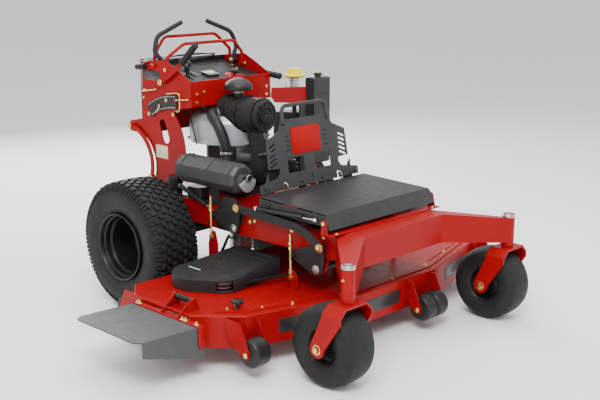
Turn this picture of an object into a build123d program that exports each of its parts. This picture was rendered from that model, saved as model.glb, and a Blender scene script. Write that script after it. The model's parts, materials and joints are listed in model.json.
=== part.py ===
"""Stand-on zero-turn mower with a 72 inch side-discharge deck, as an assembly of separate pieces.

Millimetres. While modelling, X = 0 is the machine's centre line (its right is -X), Y = 0 is the drive
axle (the front is -Y) and Z = 0 is the ground. save() then moves every piece by the same amount, so
that the finished model's origin is the ground point below the middle of the whole machine.
"""

import os
from math import atan2, cos, pi, sin

from build123d import *

os.makedirs("parts", exist_ok=True)

# ---------------------------------------------------------------- driving dimensions
SIDES = {"right": -1, "left": 1}
RUN = 0.05  # radial clearance of a running fit
GAP = 0.3  # clearance between faces that only pass each other

# Drive wheels: 24 x 9.5 - 12 turf tyres
DRIVE_X = 487
DRIVE_R = 304
DRIVE_W = 248
DRIVE_BEAD_R = 152
DRIVE_WALL = 12
DRIVE_SHOULDER = 42
WHEEL_SHAFT_R = 20

# Casters: 13 x 6.5 - 6 smooth tyres
CASTER_X = 537
CASTER_Y = -1345
CASTER_TRAIL = 73
CASTER_R = 163
CASTER_W = 160
CASTER_BEAD_R = 76
CASTER_WALL = 12
CASTER_SHOULDER = 38
CASTER_AXLE_R = 9.5
FORK_PLATE = 8
FORK_INNER = CASTER_W / 2 + 6
FORK_TOP = 345.5
SPINDLE_R = 16
TUBE_R = 28.5
TUBE_BOTTOM = 346
TUBE_TOP = 481

# Frame
RAIL_X = 285
RAIL_W = 40
RAIL_H = 100
RAIL_WALL = 4
RAIL_TOP = 500
RAIL_REAR = 250
RAIL_OUT = RAIL_X + RAIL_W / 2
RAIL_IN = RAIL_X - RAIL_W / 2
PLATE = 6
BEAM_HALF = 260
BEAM_FRONT = -1188
BEAM_BACK = -1078
BEAM_TOP = 513
BEAM_H = 127
ARM_DROP = 38
ENGINE_PLATE_TOP = RAIL_TOP + PLATE
ENGINE_PLATE_FRONT = -640
CRANK_Y = -170
TANK_TOP = 1040
TANK_BOTTOM = 622

# Tower
TOWER_IN = 250
TOWER_PLATE = 5
TOWER_OUT = TOWER_IN + TOWER_PLATE
PANEL_Y = -118
PANEL_TOP = 1045
PANEL_BOTTOM = 925
TOWER_BACK = 248
TRAY_SLOPE = atan2(72, 327)
LEVER_PIVOT = (122, 1096)
HEIGHT_PIVOT = (82, 1028)
BRAKE_PIVOT = (85, 1108)
HAND_LEVER_X = 273
CONTROL_TUBE_R = 11
HOOP_R = 8

# Deck: 72 inch cut, set to the left of the centre line
CUT_WIDTH = 1829
BLADE = round(CUT_WIDTH / 3)
DECK_X = 75
DECK_LIP = 100
DECK_TOP = 235
DECK_SHEET = 4
DECK_REAR = -318
BLADE_GAP = 7
SPINDLE_X = (CUT_WIDTH - BLADE) / 2
OUTER_SPINDLE_Y = DECK_REAR - DECK_SHEET - BLADE_GAP + 1 - BLADE / 2
CENTRE_SPINDLE_Y = OUTER_SPINDLE_Y - 157
DECK_HALF = CUT_WIDTH / 2 + BLADE_GAP + 1.5
DECK_FRONT = CENTRE_SPINDLE_Y - BLADE / 2 - BLADE_GAP - DECK_SHEET
RIGHT_WALL = DECK_X - DECK_HALF
LEFT_WALL = DECK_X + DECK_HALF
SIDE_FRONT = DECK_FRONT + 316
CORNER_Y = DECK_FRONT + 151
SPINDLE_SHAFT_R = 12.5
GROOVE_R = 52
PULLEY_R = 62
COVER_R = 132
COVER_SETBACK = 122
DRUM_R = 60
BELT_Z = 264
BELT_W = 12
BELT_H = 10
ROLLER_R = 57
ROLLER_PIN_R = 8

# Deck lift: two cross shafts with bell cranks, joined by curved links
FRONT_SHAFT = (-980, 346)
REAR_SHAFT = (-475, 428)
LIFT_SHAFT_R = 16
LIFT_ARM = (133, 40)
LINK_ARM = (-30, 100)
CRANK_IN = 318
CRANK_OUT = 326
LINK_IN = 331
LINK_OUT = 337
LINK_PIN_R = 8
ROD_X = 345
ROD_R = 5

# Deflector
HINGE_X = RIGHT_WALL + 48
HINGE_Z = 272
HINGE_PIN_R = 6
DEFLECTOR_TIP = RIGHT_WALL - 304
DEFLECTOR_Z = 216
DEFLECTOR_SHEET = 5
CHUTE_FRONT = DECK_FRONT + 221
CHUTE_REAR = DECK_REAR - 152
HINGE_EARS = (SIDE_FRONT + 150, SIDE_FRONT + 30)

# Hood
HOOD_HALF = 347
HOOD_SHEET = 3
HOOD_FRONT = -1075
HOOD_REAR = -665
HOOD_HINGE = (-1050, 562)
HOOD_PIN_R = 5

# Operator platform
PLATFORM_HALF = 215
PLATFORM_HINGE = (268, 215)
PLATFORM_END = 620

FRONT_END = CASTER_Y + CASTER_TRAIL - CASTER_R
MIDDLE_X = (LEFT_WALL + DEFLECTOR_TIP) / 2
MIDDLE_Y = (PLATFORM_END + FRONT_END) / 2


def save(piece, label):
    """Move the finished piece to the model's own origin, name it and write it."""
    placed = piece.part.moved(Location((-MIDDLE_X, -MIDDLE_Y, 0)))
    placed.label = label
    export_step(placed, f"parts/{label}.step")


def across(y, z):
    """The axis through (y, z) that runs along X."""
    return Axis((0, y, z), (1, 0, 0))


def cross_plane(x):
    """A plane across the machine at x: its own x is Y and its own y is Z."""
    return Plane.YZ.offset(x)


def long_plane(y):
    """A plane that faces the rear at y: its own x is X and its own y is Z."""
    return Plane(origin=(0, y, 0), x_dir=(1, 0, 0), z_dir=(0, -1, 0))


# ---------------------------------------------------------------- wheels
def tyre(x, y, radius, bead, width, wall, shoulder):
    """A hollow tyre on the ground: a tread and two side walls, open towards the rim."""
    with BuildPart() as ring:
        with BuildSketch(long_plane(y)) as section:
            with Locations((x, radius + (radius + bead) / 2)):
                Rectangle(width, radius - bead)
            fillet(section.vertices().group_by(Axis.Y)[-1], shoulder)
            inner = radius - wall - bead + shoulder
            with Locations((x, radius + radius - wall - inner / 2)):
                RectangleRounded(width - 2 * wall, inner, shoulder - wall, mode=Mode.SUBTRACT)
        revolve(axis=across(y, radius))
    return ring


def disc_sections(x_centre, side, radius_axis, rings):
    """Add rings to the active sketch: each is (from, to) outwards from the wheel's middle and radii."""
    for start, end, low, high in rings:
        middle = x_centre + side * (start + end) / 2
        with Locations((middle, radius_axis + (low + high) / 2)):
            Rectangle(abs(end - start), high - low)


for name, side in SIDES.items():
    x = side * DRIVE_X
    save(tyre(x, 0, DRIVE_R, DRIVE_BEAD_R, DRIVE_W, DRIVE_WALL, DRIVE_SHOULDER), f"drive_tyre_{name}")

    rim_r = DRIVE_BEAD_R - 0.2
    half = DRIVE_W / 2
    web = -60
    with BuildPart() as rim:
        with BuildSketch(long_plane(0)):
            disc_sections(
                x, side, DRIVE_R,
                [
                    (-half, half, rim_r - 6, rim_r),
                    (half, half + 4, rim_r - 6, rim_r + 8),
                    (-half - 4, -half, rim_r - 6, rim_r + 8),
                    (web - 6, web, 0, rim_r),
                    (web, web + 16, 0, 46),
                    (web - 80, web, 0, WHEEL_SHAFT_R),
                ],
            )
        revolve(axis=across(0, DRIVE_R))
        nut_plane = Plane(origin=(x + side * web, 0, DRIVE_R), x_dir=(0, 1, 0), z_dir=(side, 0, 0))
        with BuildSketch(nut_plane):
            with PolarLocations(63, 5):
                RegularPolygon(11, 6)
        extrude(amount=13)
    save(rim, f"drive_rim_{name}")

# Wheel motors bolted outside the frame rails, with the wheels' shafts running in them
MOTOR_R = 72
MOTOR_END = DRIVE_X - 60 - 6 - 14
with BuildPart() as motors:
    for side in SIDES.values():
        with BuildSketch(cross_plane(side * RAIL_OUT)):
            with Locations((0, DRIVE_R)):
                Circle(MOTOR_R)
        extrude(amount=side * (MOTOR_END - RAIL_OUT))
        with BuildSketch(cross_plane(side * (MOTOR_END + 1))):
            with Locations((0, DRIVE_R)):
                Circle(WHEEL_SHAFT_R + RUN)
        extrude(amount=-side * 80, mode=Mode.SUBTRACT)
    fillet(motors.edges().filter_by(GeomType.CIRCLE).filter_by(lambda e: abs(e.radius - MOTOR_R) < 1), 6)
save(motors, "wheel_motors")

# ---------------------------------------------------------------- casters
AXLE_Y = CASTER_Y + CASTER_TRAIL
for name, side in SIDES.items():
    x = side * CASTER_X
    save(
        tyre(x, AXLE_Y, CASTER_R, CASTER_BEAD_R, CASTER_W, CASTER_WALL, CASTER_SHOULDER),
        f"caster_tyre_{name}",
    )
    with BuildPart() as hub:
        with BuildSketch(long_plane(AXLE_Y)):
            hub_r = CASTER_BEAD_R - 0.2
            bore = CASTER_AXLE_R + RUN
            disc_sections(
                x, side, CASTER_R,
                [
                    (-CASTER_W / 2, CASTER_W / 2, hub_r - 8, hub_r),
                    (-FORK_INNER + 2, FORK_INNER - 2, bore, 24),
                    (-8, 8, bore, hub_r),
                ],
            )
        revolve(axis=across(AXLE_Y, CASTER_R))
    save(hub, f"caster_hub_{name}")

    outer = FORK_INNER + FORK_PLATE
    bevel = 34
    with BuildPart() as fork:
        with BuildSketch(long_plane(CASTER_Y)):
            for half, top, cut, mode in (
                (outer, FORK_TOP, bevel, Mode.ADD),
                (FORK_INNER, FORK_TOP - 10, bevel - 5, Mode.SUBTRACT),
            ):
                with Locations((x, 0)):
                    Polygon(
                        (-half, 90), (half, 90), (half, top - cut), (half - cut, top),
                        (cut - half, top), (-half, top - cut), align=None, mode=mode,
                    )
        extrude(amount=160, both=True)
        with BuildSketch(cross_plane(x)):
            with Locations((CASTER_Y, 0)):
                Polygon(
                    (-44, FORK_TOP), (46, FORK_TOP), (48, 300), (CASTER_TRAIL + 35, CASTER_R + 8),
                    (CASTER_TRAIL + 35, CASTER_R), (CASTER_TRAIL - 35, CASTER_R), (-44, 285), align=None,
                )
            with Locations((AXLE_Y, CASTER_R)):
                Circle(35)
        extrude(amount=outer + 10, both=True, mode=Mode.INTERSECT)
        with BuildSketch(cross_plane(x)):
            with Locations((AXLE_Y, CASTER_R)):
                Circle(CASTER_AXLE_R + RUN)
        extrude(amount=outer + 10, both=True, mode=Mode.SUBTRACT)
        with BuildSketch(Plane.XY.offset(FORK_TOP - 5)):
            with Locations((x, CASTER_Y)):
                Circle(SPINDLE_R)
        extrude(amount=TUBE_TOP - 2 - FORK_TOP + 5)
        with BuildSketch(cross_plane(x)):
            with Locations((AXLE_Y, CASTER_R)):
                Circle(CASTER_AXLE_R)
        extrude(amount=outer + GAP, both=True)
        for end in (-1, 1):
            with BuildSketch(cross_plane(x + end * (outer + GAP))):
                with Locations((AXLE_Y, CASTER_R)):
                    RegularPolygon(16, 6)
            extrude(amount=end * 9)
    save(fork, f"caster_fork_{name}")

# ---------------------------------------------------------------- front beam with caster arms
ARM_END = CASTER_X - 12


def beam_body(inset):
    """The beam and its swept arms as one closed shape, with every face drawn in by inset."""
    with BuildPart() as body:
        with BuildSketch(Plane.XY.offset(BEAM_TOP - BEAM_H - ARM_DROP - 20)):
            for side in SIDES.values():
                Polygon(
                    (0, BEAM_FRONT + inset), (side * BEAM_HALF, BEAM_FRONT + inset),
                    (side * (ARM_END - inset), CASTER_Y - 24 + 1.5 * inset),
                    (side * (CASTER_X + 10 - 2 * inset), CASTER_Y + 22 - inset),
                    (side * (BEAM_HALF + 52 - inset), BEAM_BACK - inset), (0, BEAM_BACK - inset), align=None,
                )
        extrude(amount=BEAM_H + ARM_DROP + 60)
        low = BEAM_TOP - BEAM_H - (40 if inset else 0)
        high = BEAM_TOP - inset
        with BuildSketch(long_plane(0)):
            for side in SIDES.values():
                Polygon(
                    (0, low), (side * BEAM_HALF, low),
                    (side * CASTER_X, low - ARM_DROP + 16), (side * (CASTER_X + 20), low - ARM_DROP + 16),
                    (side * (CASTER_X + 20), high - ARM_DROP), (side * CASTER_X, high - ARM_DROP),
                    (side * BEAM_HALF, high), (0, high), align=None,
                )
        extrude(amount=1500, mode=Mode.INTERSECT)
    return body


pocket = beam_body(5)
beam_outer = beam_body(0)
EAR_X = HOOD_HALF + 4
with BuildPart() as beam:
    add(beam_outer.part)
    add(pocket.part, mode=Mode.SUBTRACT)
    for side in SIDES.values():
        with BuildSketch(Plane.XY.offset(TUBE_BOTTOM)):
            with Locations((side * CASTER_X, CASTER_Y)):
                Circle(TUBE_R)
        extrude(amount=TUBE_TOP - TUBE_BOTTOM)
        with BuildSketch(Plane.XY.offset(TUBE_TOP)):
            with Locations((side * CASTER_X, CASTER_Y)):
                Circle(TUBE_R - 2)
        extrude(amount=14, taper=12)
        with BuildSketch(Plane.XY.offset(TUBE_BOTTOM - 1)):
            with Locations((side * CASTER_X, CASTER_Y)):
                Circle(SPINDLE_R + RUN)
        extrude(amount=TUBE_TOP - TUBE_BOTTOM + 1, mode=Mode.SUBTRACT)
    with BuildSketch(Plane.XY.offset(BEAM_TOP)):
        with Locations((0, BEAM_BACK + 12)):
            Rectangle(2 * (EAR_X + 5), 66)
    extrude(amount=5)
    for side in SIDES.values():
        with BuildSketch(cross_plane(side * EAR_X)):
            hinge_y, hinge_z = HOOD_HINGE
            Polygon(
                (hinge_y - 24, BEAM_TOP), (hinge_y + 17, BEAM_TOP), (hinge_y + 13, hinge_z),
                (hinge_y - 13, hinge_z), align=None,
            )
            with Locations(HOOD_HINGE):
                Circle(13)
                Circle(HOOD_PIN_R + RUN, mode=Mode.SUBTRACT)
        extrude(amount=side * 5)
save(beam, "front_beam")

# ---------------------------------------------------------------- main frame
BRACKET_X = PLATFORM_HALF + 5
with BuildPart() as frame:
    with BuildSketch(long_plane(BEAM_BACK)):
        for side in SIDES.values():
            with Locations((side * RAIL_X, RAIL_TOP - RAIL_H / 2)):
                Rectangle(RAIL_W, RAIL_H)
                Rectangle(RAIL_W - 2 * RAIL_WALL, RAIL_H - 2 * RAIL_WALL, mode=Mode.SUBTRACT)
    extrude(amount=-(RAIL_REAR - BEAM_BACK))
    with BuildSketch(Plane.XY.offset(RAIL_TOP)):
        with Locations((0, (ENGINE_PLATE_FRONT + RAIL_REAR) / 2)):
            Rectangle(2 * RAIL_OUT, RAIL_REAR - ENGINE_PLATE_FRONT)
        with Locations((0, CRANK_Y)):
            Circle(34, mode=Mode.SUBTRACT)
    extrude(amount=PLATE)
    # cross members, the last one carrying the platform brackets
    for y in (-760, 120):
        with BuildSketch(Plane.XY.offset(RAIL_TOP - 80)):
            with Locations((0, y)):
                Rectangle(2 * RAIL_IN, 40)
        extrude(amount=50)
    with BuildSketch(Plane.XY.offset(RAIL_TOP - 180)):
        with Locations((0, RAIL_REAR - PLATE / 2)):
            Rectangle(2 * RAIL_OUT, PLATE)
    extrude(amount=180)
    # battery tray
    with BuildSketch(Plane.XY.offset(RAIL_TOP - RAIL_H)):
        with Locations((0, -925)):
            Rectangle(2 * RAIL_IN, 290)
    extrude(amount=PLATE)
    for side in SIDES.values():
        # motor plates, front shaft hangers and platform brackets
        with BuildSketch(cross_plane(side * (RAIL_OUT - 8))):
            Polygon(
                (-110, RAIL_TOP - RAIL_H), (110, RAIL_TOP - RAIL_H), (80, DRIVE_R - 80),
                (-80, DRIVE_R - 80), align=None,
            )
            with Locations((0, DRIVE_R)):
                Circle(WHEEL_SHAFT_R + 12, mode=Mode.SUBTRACT)
        extrude(amount=side * 8)
        with BuildSketch(cross_plane(side * RAIL_X)):
            y, z = FRONT_SHAFT
            Polygon(
                (y - 45, RAIL_TOP - RAIL_H), (y + 45, RAIL_TOP - RAIL_H), (y + 24, z), (y - 24, z), align=None,
            )
            with Locations(FRONT_SHAFT):
                Circle(26)
        extrude(amount=side * 8)
        with BuildSketch(cross_plane(side * BRACKET_X)):
            y, z = PLATFORM_HINGE
            Polygon(
                (RAIL_REAR - PLATE, RAIL_TOP - 60), (RAIL_REAR, RAIL_TOP - 60), (y + 16, z + 30),
                (y + 16, z), (y - 16, z), (RAIL_REAR - PLATE, z + 60), align=None,
            )
            with Locations(PLATFORM_HINGE):
                Circle(16)
        extrude(amount=side * 6)
    for shaft in (FRONT_SHAFT, REAR_SHAFT):
        with BuildSketch(cross_plane(0)):
            with Locations(shaft):
                Circle(LIFT_SHAFT_R + RUN)
        extrude(amount=RAIL_OUT + 10, both=True, mode=Mode.SUBTRACT)
    # pins that the operator platform folds on
    for side in SIDES.values():
        with BuildSketch(cross_plane(side * (BRACKET_X + 6))):
            with Locations(PLATFORM_HINGE):
                Circle(8)
        extrude(amount=-side * 40)
    # legs under the fuel tank
    for y in (-390, -140):
        with BuildSketch(Plane.XY.offset(ENGINE_PLATE_TOP)):
            with Locations((288, y)):
                Rectangle(28, PLATE)
        extrude(amount=TANK_BOTTOM - ENGINE_PLATE_TOP)
    # bracket for the hydraulic filler, standing on the engine plate
    with BuildSketch(long_plane(-366)):
        Polygon(
            (208, ENGINE_PLATE_TOP), (248, ENGINE_PLATE_TOP), (248, 1000), (20, 1016), (16, 975),
            (42, 945), (208, 925), align=None,
        )
    extrude(amount=4)
save(frame, "main_frame")

# ---------------------------------------------------------------- tower
LUG = (340, 790)
with BuildPart() as tower:
    for side in SIDES.values():
        with BuildSketch(cross_plane(side * TOWER_IN)):
            with BuildLine():
                Polyline(
                    (TOWER_BACK, 1112), (70, 1132), (-20, 1092), (PANEL_Y + 4, PANEL_TOP),
                    (PANEL_Y, PANEL_BOTTOM), (-20, 905), (20, 890),
                )
                ThreePointArc((20, 890), (-66, 705), (0, ENGINE_PLATE_TOP))
                Line((0, ENGINE_PLATE_TOP), (200, ENGINE_PLATE_TOP))
                ThreePointArc((200, ENGINE_PLATE_TOP), (168, 650), (262, 762))
                Polyline((262, 762), (LUG[0], 762))
                ThreePointArc((LUG[0], 762), (LUG[0] + 28, LUG[1]), (LUG[0], 818))
                Polyline((LUG[0], 818), (258, 835), (TOWER_BACK, 1112))
            make_face()
            # opening behind the quadrant and one above the engine plate
            with Locations((90, 790)):
                SlotOverall(120, 46, rotation=70, mode=Mode.SUBTRACT)
        extrude(amount=side * TOWER_PLATE)
        # bosses: steering lever pin inside, hand lever pins outside
        with BuildSketch(cross_plane(side * TOWER_IN)):
            with Locations(LEVER_PIVOT):
                Circle(8)
        extrude(amount=-side * 40)
        pivot = HEIGHT_PIVOT if side < 0 else BRAKE_PIVOT
        with BuildSketch(cross_plane(side * TOWER_OUT)):
            with Locations(pivot):
                Circle(7)
        extrude(amount=side * (HAND_LEVER_X + 6 - TOWER_OUT))
    with BuildSketch(long_plane(PANEL_Y + 4)):
        with Locations((0, (PANEL_TOP + PANEL_BOTTOM) / 2)):
            Rectangle(2 * TOWER_IN, PANEL_TOP - PANEL_BOTTOM)
    extrude(amount=4)
    with BuildSketch(long_plane(TOWER_BACK)):
        with Locations((0, (1112 + 770) / 2)):
            Rectangle(2 * TOWER_IN, 1112 - 770)
    extrude(amount=4)
save(tower, "tower_shell")

# Curved bars behind the tower that guard the operator's shins
with BuildPart() as shin_bars:
    for side in SIDES.values():
        with BuildSketch(cross_plane(side * (TOWER_OUT + 7))):
            with BuildLine() as bar:
                ThreePointArc((LUG[0], LUG[1]), (205, 705), (186, 556))
            trace(bar.line, line_width=24)
        extrude(amount=side * 6)
        for spot in (LUG, (186, 556)):
            with BuildSketch(cross_plane(side * TOWER_OUT)):
                with Locations(spot):
                    Circle(10)
            extrude(amount=side * 20)
save(shin_bars, "shin_guard_bars")

# Console tray, let in between the side plates, sloping up to the rear
TRAY_HALF = TOWER_IN - 4
TRAY_FRONT = -109
TRAY_BACK = 218
TRAY_Z = 1018
TRAY_RISE = 72
LEVER_SLOTS = {"throttle": (-118, 62), "choke": (-165, 20)}


def tray_height(y):
    """Height of the console floor's top face at y."""
    return TRAY_Z + 3.5 + (y - TRAY_FRONT) * TRAY_RISE / (TRAY_BACK - TRAY_FRONT)


PTO = (95, -28)
TRAY_NORMAL = (0, -sin(TRAY_SLOPE), cos(TRAY_SLOPE))


def console_plane(x, y, above=0):
    """A plane on the console floor at (x, y), raised by above along the floor's normal."""
    foot = Vector(x, y, tray_height(y)) + Vector(TRAY_NORMAL) * above
    return Plane(origin=foot, x_dir=(1, 0, 0), z_dir=TRAY_NORMAL)


with BuildPart() as tray:
    with BuildSketch(cross_plane(0)):
        Polygon(
            (TRAY_FRONT, PANEL_TOP), (TRAY_FRONT, TRAY_Z), (TRAY_BACK, TRAY_Z + TRAY_RISE),
            (TRAY_BACK, TRAY_Z + TRAY_RISE + 26), (TRAY_BACK - 3, TRAY_Z + TRAY_RISE + 26),
            (TRAY_BACK - 3, tray_height(TRAY_BACK - 3)), (TRAY_FRONT + 3, tray_height(TRAY_FRONT + 3)),
            (TRAY_FRONT + 3, PANEL_TOP), align=None,
        )
    extrude(amount=TRAY_HALF, both=True)
    for x, y in LEVER_SLOTS.values():
        with BuildSketch(Plane.XY.offset(TRAY_Z - 20)):
            with Locations((x, y)):
                Rectangle(12, 96)
        extrude(amount=150, mode=Mode.SUBTRACT)
    with BuildSketch(console_plane(*PTO)):
        Circle(6 + RUN)
    extrude(amount=20, both=True, mode=Mode.SUBTRACT)
    with BuildSketch(console_plane(-20, 20, -0.5)):
        RectangleRounded(72, 62, 6)
    extrude(amount=9)
    # shaft below the floor that the two small levers turn on, with its three lugs
    for x, y in LEVER_SLOTS.values():
        pivot_z = tray_height(y) - 22
        with BuildSketch(cross_plane(x - 14)):
            with Locations((y, pivot_z)):
                Circle(3)
        extrude(amount=28)
        for end in (-1, 1):
            with BuildSketch(cross_plane(x + end * 11)):
                with Locations((y, pivot_z + 9)):
                    Rectangle(14, 30)
            extrude(amount=end * 3)
save(tray, "console_tray")

for name, (x, y) in LEVER_SLOTS.items():
    pivot_z = tray_height(y) - 22
    with BuildPart() as small_lever:
        with BuildSketch(cross_plane(x - 3)):
            with Locations((y, pivot_z)):
                Circle(8)
                with Locations((0, 30)):
                    Rectangle(9, 60)
                Circle(3 + RUN, mode=Mode.SUBTRACT)
        extrude(amount=6)
        with BuildSketch(cross_plane(x - 9)):
            with Locations((y, pivot_z + 66)):
                SlotCenterToCenter(14, 22, rotation=90)
        extrude(amount=18)
        fillet(small_lever.edges().group_by(Axis.Z)[-1], 4)
    save(small_lever, f"{name}_lever")

with BuildPart() as pto:
    with BuildSketch(console_plane(*PTO, above=-18)):
        Circle(6)
    extrude(amount=34)
    with BuildSketch(console_plane(*PTO, above=15)):
        Circle(19)
    extrude(amount=16)
    fillet(pto.faces().sort_by(Axis.Z)[-1].edges(), 6)
save(pto, "pto_knob")

# Tubular hoops over the console
with BuildPart() as hoops:
    for foot_y, foot_z, knee_y, knee_z, top_x, top_y, top_z in (
        (74, 1076, 74, 1140, 158, 46, 1204),
        (166, 1096, 166, 1150, 162, 188, 1230),
    ):
        leg_x = TOWER_IN - HOOP_R - 1
        corners = [
            (-leg_x, foot_y, foot_z), (-leg_x, knee_y, knee_z), (-top_x, top_y, top_z),
            (top_x, top_y, top_z), (leg_x, knee_y, knee_z), (leg_x, foot_y, foot_z),
        ]
        with BuildLine() as centre_line:
            FilletPolyline(*corners, radius=(30, 55, 55, 30))
        with BuildSketch(Plane(origin=corners[0], z_dir=Vector(*corners[1]) - Vector(*corners[0]))):
            Circle(HOOP_R)
        sweep(path=centre_line.line)
save(hoops, "console_hoops")

# Steering levers: a hub on the pin in the tower and a bent tube with a hand grip
for name, side in SIDES.items():
    py, pz = LEVER_PIVOT
    corners = [
        (side * 230, py, pz), (side * 234, py + 3, pz + 32), (side * 262, py + 16, 1166),
        (side * 236, py + 27, 1238), (side * 80, py + 32, 1297),
    ]
    with BuildPart() as lever:
        with BuildLine() as centre_line:
            FilletPolyline(*corners, radius=(25, 32, 60))
        start = Vector(*corners[0])
        with BuildSketch(Plane(origin=start, z_dir=Vector(*corners[1]) - start)):
            Circle(CONTROL_TUBE_R)
        sweep(path=centre_line.line)
        with BuildSketch(cross_plane(side * 216)):
            with Locations(LEVER_PIVOT):
                Circle(14)
        extrude(amount=side * 30)
        with BuildSketch(cross_plane(side * 208)):
            with Locations(LEVER_PIVOT):
                Circle(8 + RUN)
        extrude(amount=side * 41, mode=Mode.SUBTRACT)
    save(lever, f"steering_lever_{name}")


def hand_lever(side, pivot, elbow, grip_start, grip_end):
    """A flat arm on a pin beside the tower, and the round grip on its end."""
    x = side * HAND_LEVER_X
    with BuildPart() as lever:
        with BuildSketch(cross_plane(x - 3)):
            with BuildLine() as arm:
                Polyline(pivot, elbow, grip_start)
            trace(arm.line, line_width=22)
            with Locations(pivot):
                Circle(13)
                Circle(7 + RUN, mode=Mode.SUBTRACT)
        extrude(amount=6)
        reach = Vector(0, grip_end[0] - grip_start[0], grip_end[1] - grip_start[1])
        start = Vector(x, *grip_start)
        with BuildSketch(Plane(origin=start, x_dir=(1, 0, 0), z_dir=reach)):
            Circle(14)
        extrude(amount=reach.length)
        fillet(lever.edges().filter_by(GeomType.CIRCLE).filter_by(lambda e: abs(e.radius - 14) < 0.1), 4)
    return lever


save(hand_lever(-1, HEIGHT_PIVOT, (10, 1068), (-79, 1129), (-180, 1219)), "height_lever")
save(hand_lever(1, BRAKE_PIVOT, (40, 1085), (-52, 1040), (-168, 1032)), "parking_brake_lever")

# Height-of-cut quadrant: a sector plate with two rows of pin holes, on spacers outside the tower
QUADRANT_X = -(TOWER_OUT + 4)
QUADRANT_CENTRE = (1, 588)
QUADRANT_R = 384
QUADRANT_W = 66
with BuildPart() as quadrant:
    with BuildSketch(cross_plane(QUADRANT_X)):
        with Locations(QUADRANT_CENTRE):
            Circle(QUADRANT_R)
            Circle(QUADRANT_R - QUADRANT_W, mode=Mode.SUBTRACT)
            Polygon((0, 0), (-30, 600), (330, 500), align=None, mode=Mode.INTERSECT)
            for inset in (12, QUADRANT_W - 12):
                with PolarLocations(QUADRANT_R - inset, 9, start_angle=61, angular_range=26):
                    Circle(3.2, mode=Mode.SUBTRACT)
    extrude(amount=-3)
    with BuildSketch(cross_plane(QUADRANT_X)):
        with Locations(QUADRANT_CENTRE):
            with PolarLocations(QUADRANT_R - QUADRANT_W / 2, 2, start_angle=64, angular_range=48):
                Circle(6)
    extrude(amount=4)
save(quadrant, "height_quadrant")

# Thigh cushion on the tower's rear panel
with BuildPart() as cushion:
    with BuildSketch(long_plane(TOWER_BACK)):
        with Locations((0, 938)):
            RectangleRounded(2 * (TOWER_IN - 5), 370, 30)
    extrude(amount=-44)
    fillet(cushion.faces().sort_by(Axis.Y)[-1].edges(), 14)
save(cushion, "thigh_cushion")

# ---------------------------------------------------------------- hood, hinged at its front corners
def hood_profile(inset):
    """Side outline of the hood, drawn in by inset and open below where inset is not zero."""
    low = 40 if inset else 0
    return [
        (HOOD_FRONT + 1.2 * inset, 533 - low), (-1044 + inset / 2, 596 - inset),
        (HOOD_REAR - inset, 607 - inset), (HOOD_REAR - inset, 550 - low), (-1038, 547 - low),
    ]


with BuildPart() as hood:
    with BuildSketch(cross_plane(0)):
        Polygon(*hood_profile(0), align=None)
    extrude(amount=HOOD_HALF, both=True)
    chamfer(hood.edges().filter_by(Axis.Y, tolerance=6).group_by(Axis.Z)[-1], 10)
    with BuildSketch(cross_plane(0)):
        Polygon(*hood_profile(HOOD_SHEET), align=None)
    extrude(amount=HOOD_HALF - HOOD_SHEET, both=True, mode=Mode.SUBTRACT)
    with BuildSketch(cross_plane(0)):
        with Locations(HOOD_HINGE):
            Circle(HOOD_PIN_R + RUN)
    extrude(amount=HOOD_HALF + 5, both=True, mode=Mode.SUBTRACT)
save(hood, "hood")

with BuildPart() as battery:
    with BuildSketch(Plane.XY.offset(RAIL_TOP - RAIL_H + PLATE)):
        with Locations((0, -925)):
            Rectangle(260, 175)
    extrude(amount=165)
    for side in SIDES.values():
        with BuildSketch(Plane.XY.offset(RAIL_TOP - RAIL_H + PLATE + 165)):
            with Locations((side * 95, -975)):
                Circle(9)
        extrude(amount=12)
save(battery, "battery")

# ---------------------------------------------------------------- engine and what is bolted round it
CYLINDER_Z = 622
HEAD_REACH = 232
with BuildPart() as engine:
    with BuildSketch(Plane.XY.offset(ENGINE_PLATE_TOP)):
        with Locations((0, CRANK_Y)):
            RectangleRounded(250, 260, 40)
    extrude(amount=744 - ENGINE_PLATE_TOP)
    for side in SIDES.values():
        direction = Vector(side, -1, 0).normalized()
        for start, length, wide, tall in (
            (70, 110, 92, 100),
            *((76 + 11 * fin, 6, 128, 128) for fin in range(9)),
            (170, 46, 118, 118),
            (HEAD_REACH - 18, 24, 100, 92),
        ):
            foot = Vector(0, CRANK_Y, CYLINDER_Z) + direction * start
            with BuildSketch(Plane(origin=foot, x_dir=(side, 1, 0), z_dir=direction)):
                RectangleRounded(wide, tall, 14)
            extrude(amount=length)
    # oil filter at the front
    with BuildSketch(long_plane(CRANK_Y - 130)):
        with Locations((0, 580)):
            Circle(36)
    extrude(amount=85)
    with BuildSketch(Plane.XY.offset(ENGINE_PLATE_TOP - 1)):
        with Locations((0, CRANK_Y)):
            Circle(14 + RUN)
    extrude(amount=60, mode=Mode.SUBTRACT)
save(engine, "engine_block")

CANISTER = (-40, 890)
CANISTER_R = 80
CANISTER_REAR = -128
CANISTER_FRONT = -385
HOSE_Y = -160
DOME_Y = -92
DOME_R = 190
DOME_TOP = 884
with BuildPart() as shroud:
    with BuildSketch(Plane.XY.offset(744)):
        with Locations((0, DOME_Y)):
            Circle(DOME_R)
    extrude(amount=DOME_TOP - 744)
    fillet(shroud.faces().sort_by(Axis.Z)[-1].edges(), 52)
    with BuildSketch(long_plane(CANISTER_REAR + 14)):
        with Locations(CANISTER):
            Circle(CANISTER_R + 6)
    extrude(amount=300, mode=Mode.SUBTRACT)
    with BuildSketch(cross_plane(CANISTER[0] - 50)):
        with Locations((HOSE_Y, CANISTER[1])):
            Circle(28)
    extrude(amount=-200, mode=Mode.SUBTRACT)
    with BuildSketch(Plane.XY.offset(744)):
        with Locations((0, DOME_Y)):
            Circle(DOME_R - 5)
    extrude(amount=60, mode=Mode.SUBTRACT)
save(shroud, "blower_housing")

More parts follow.
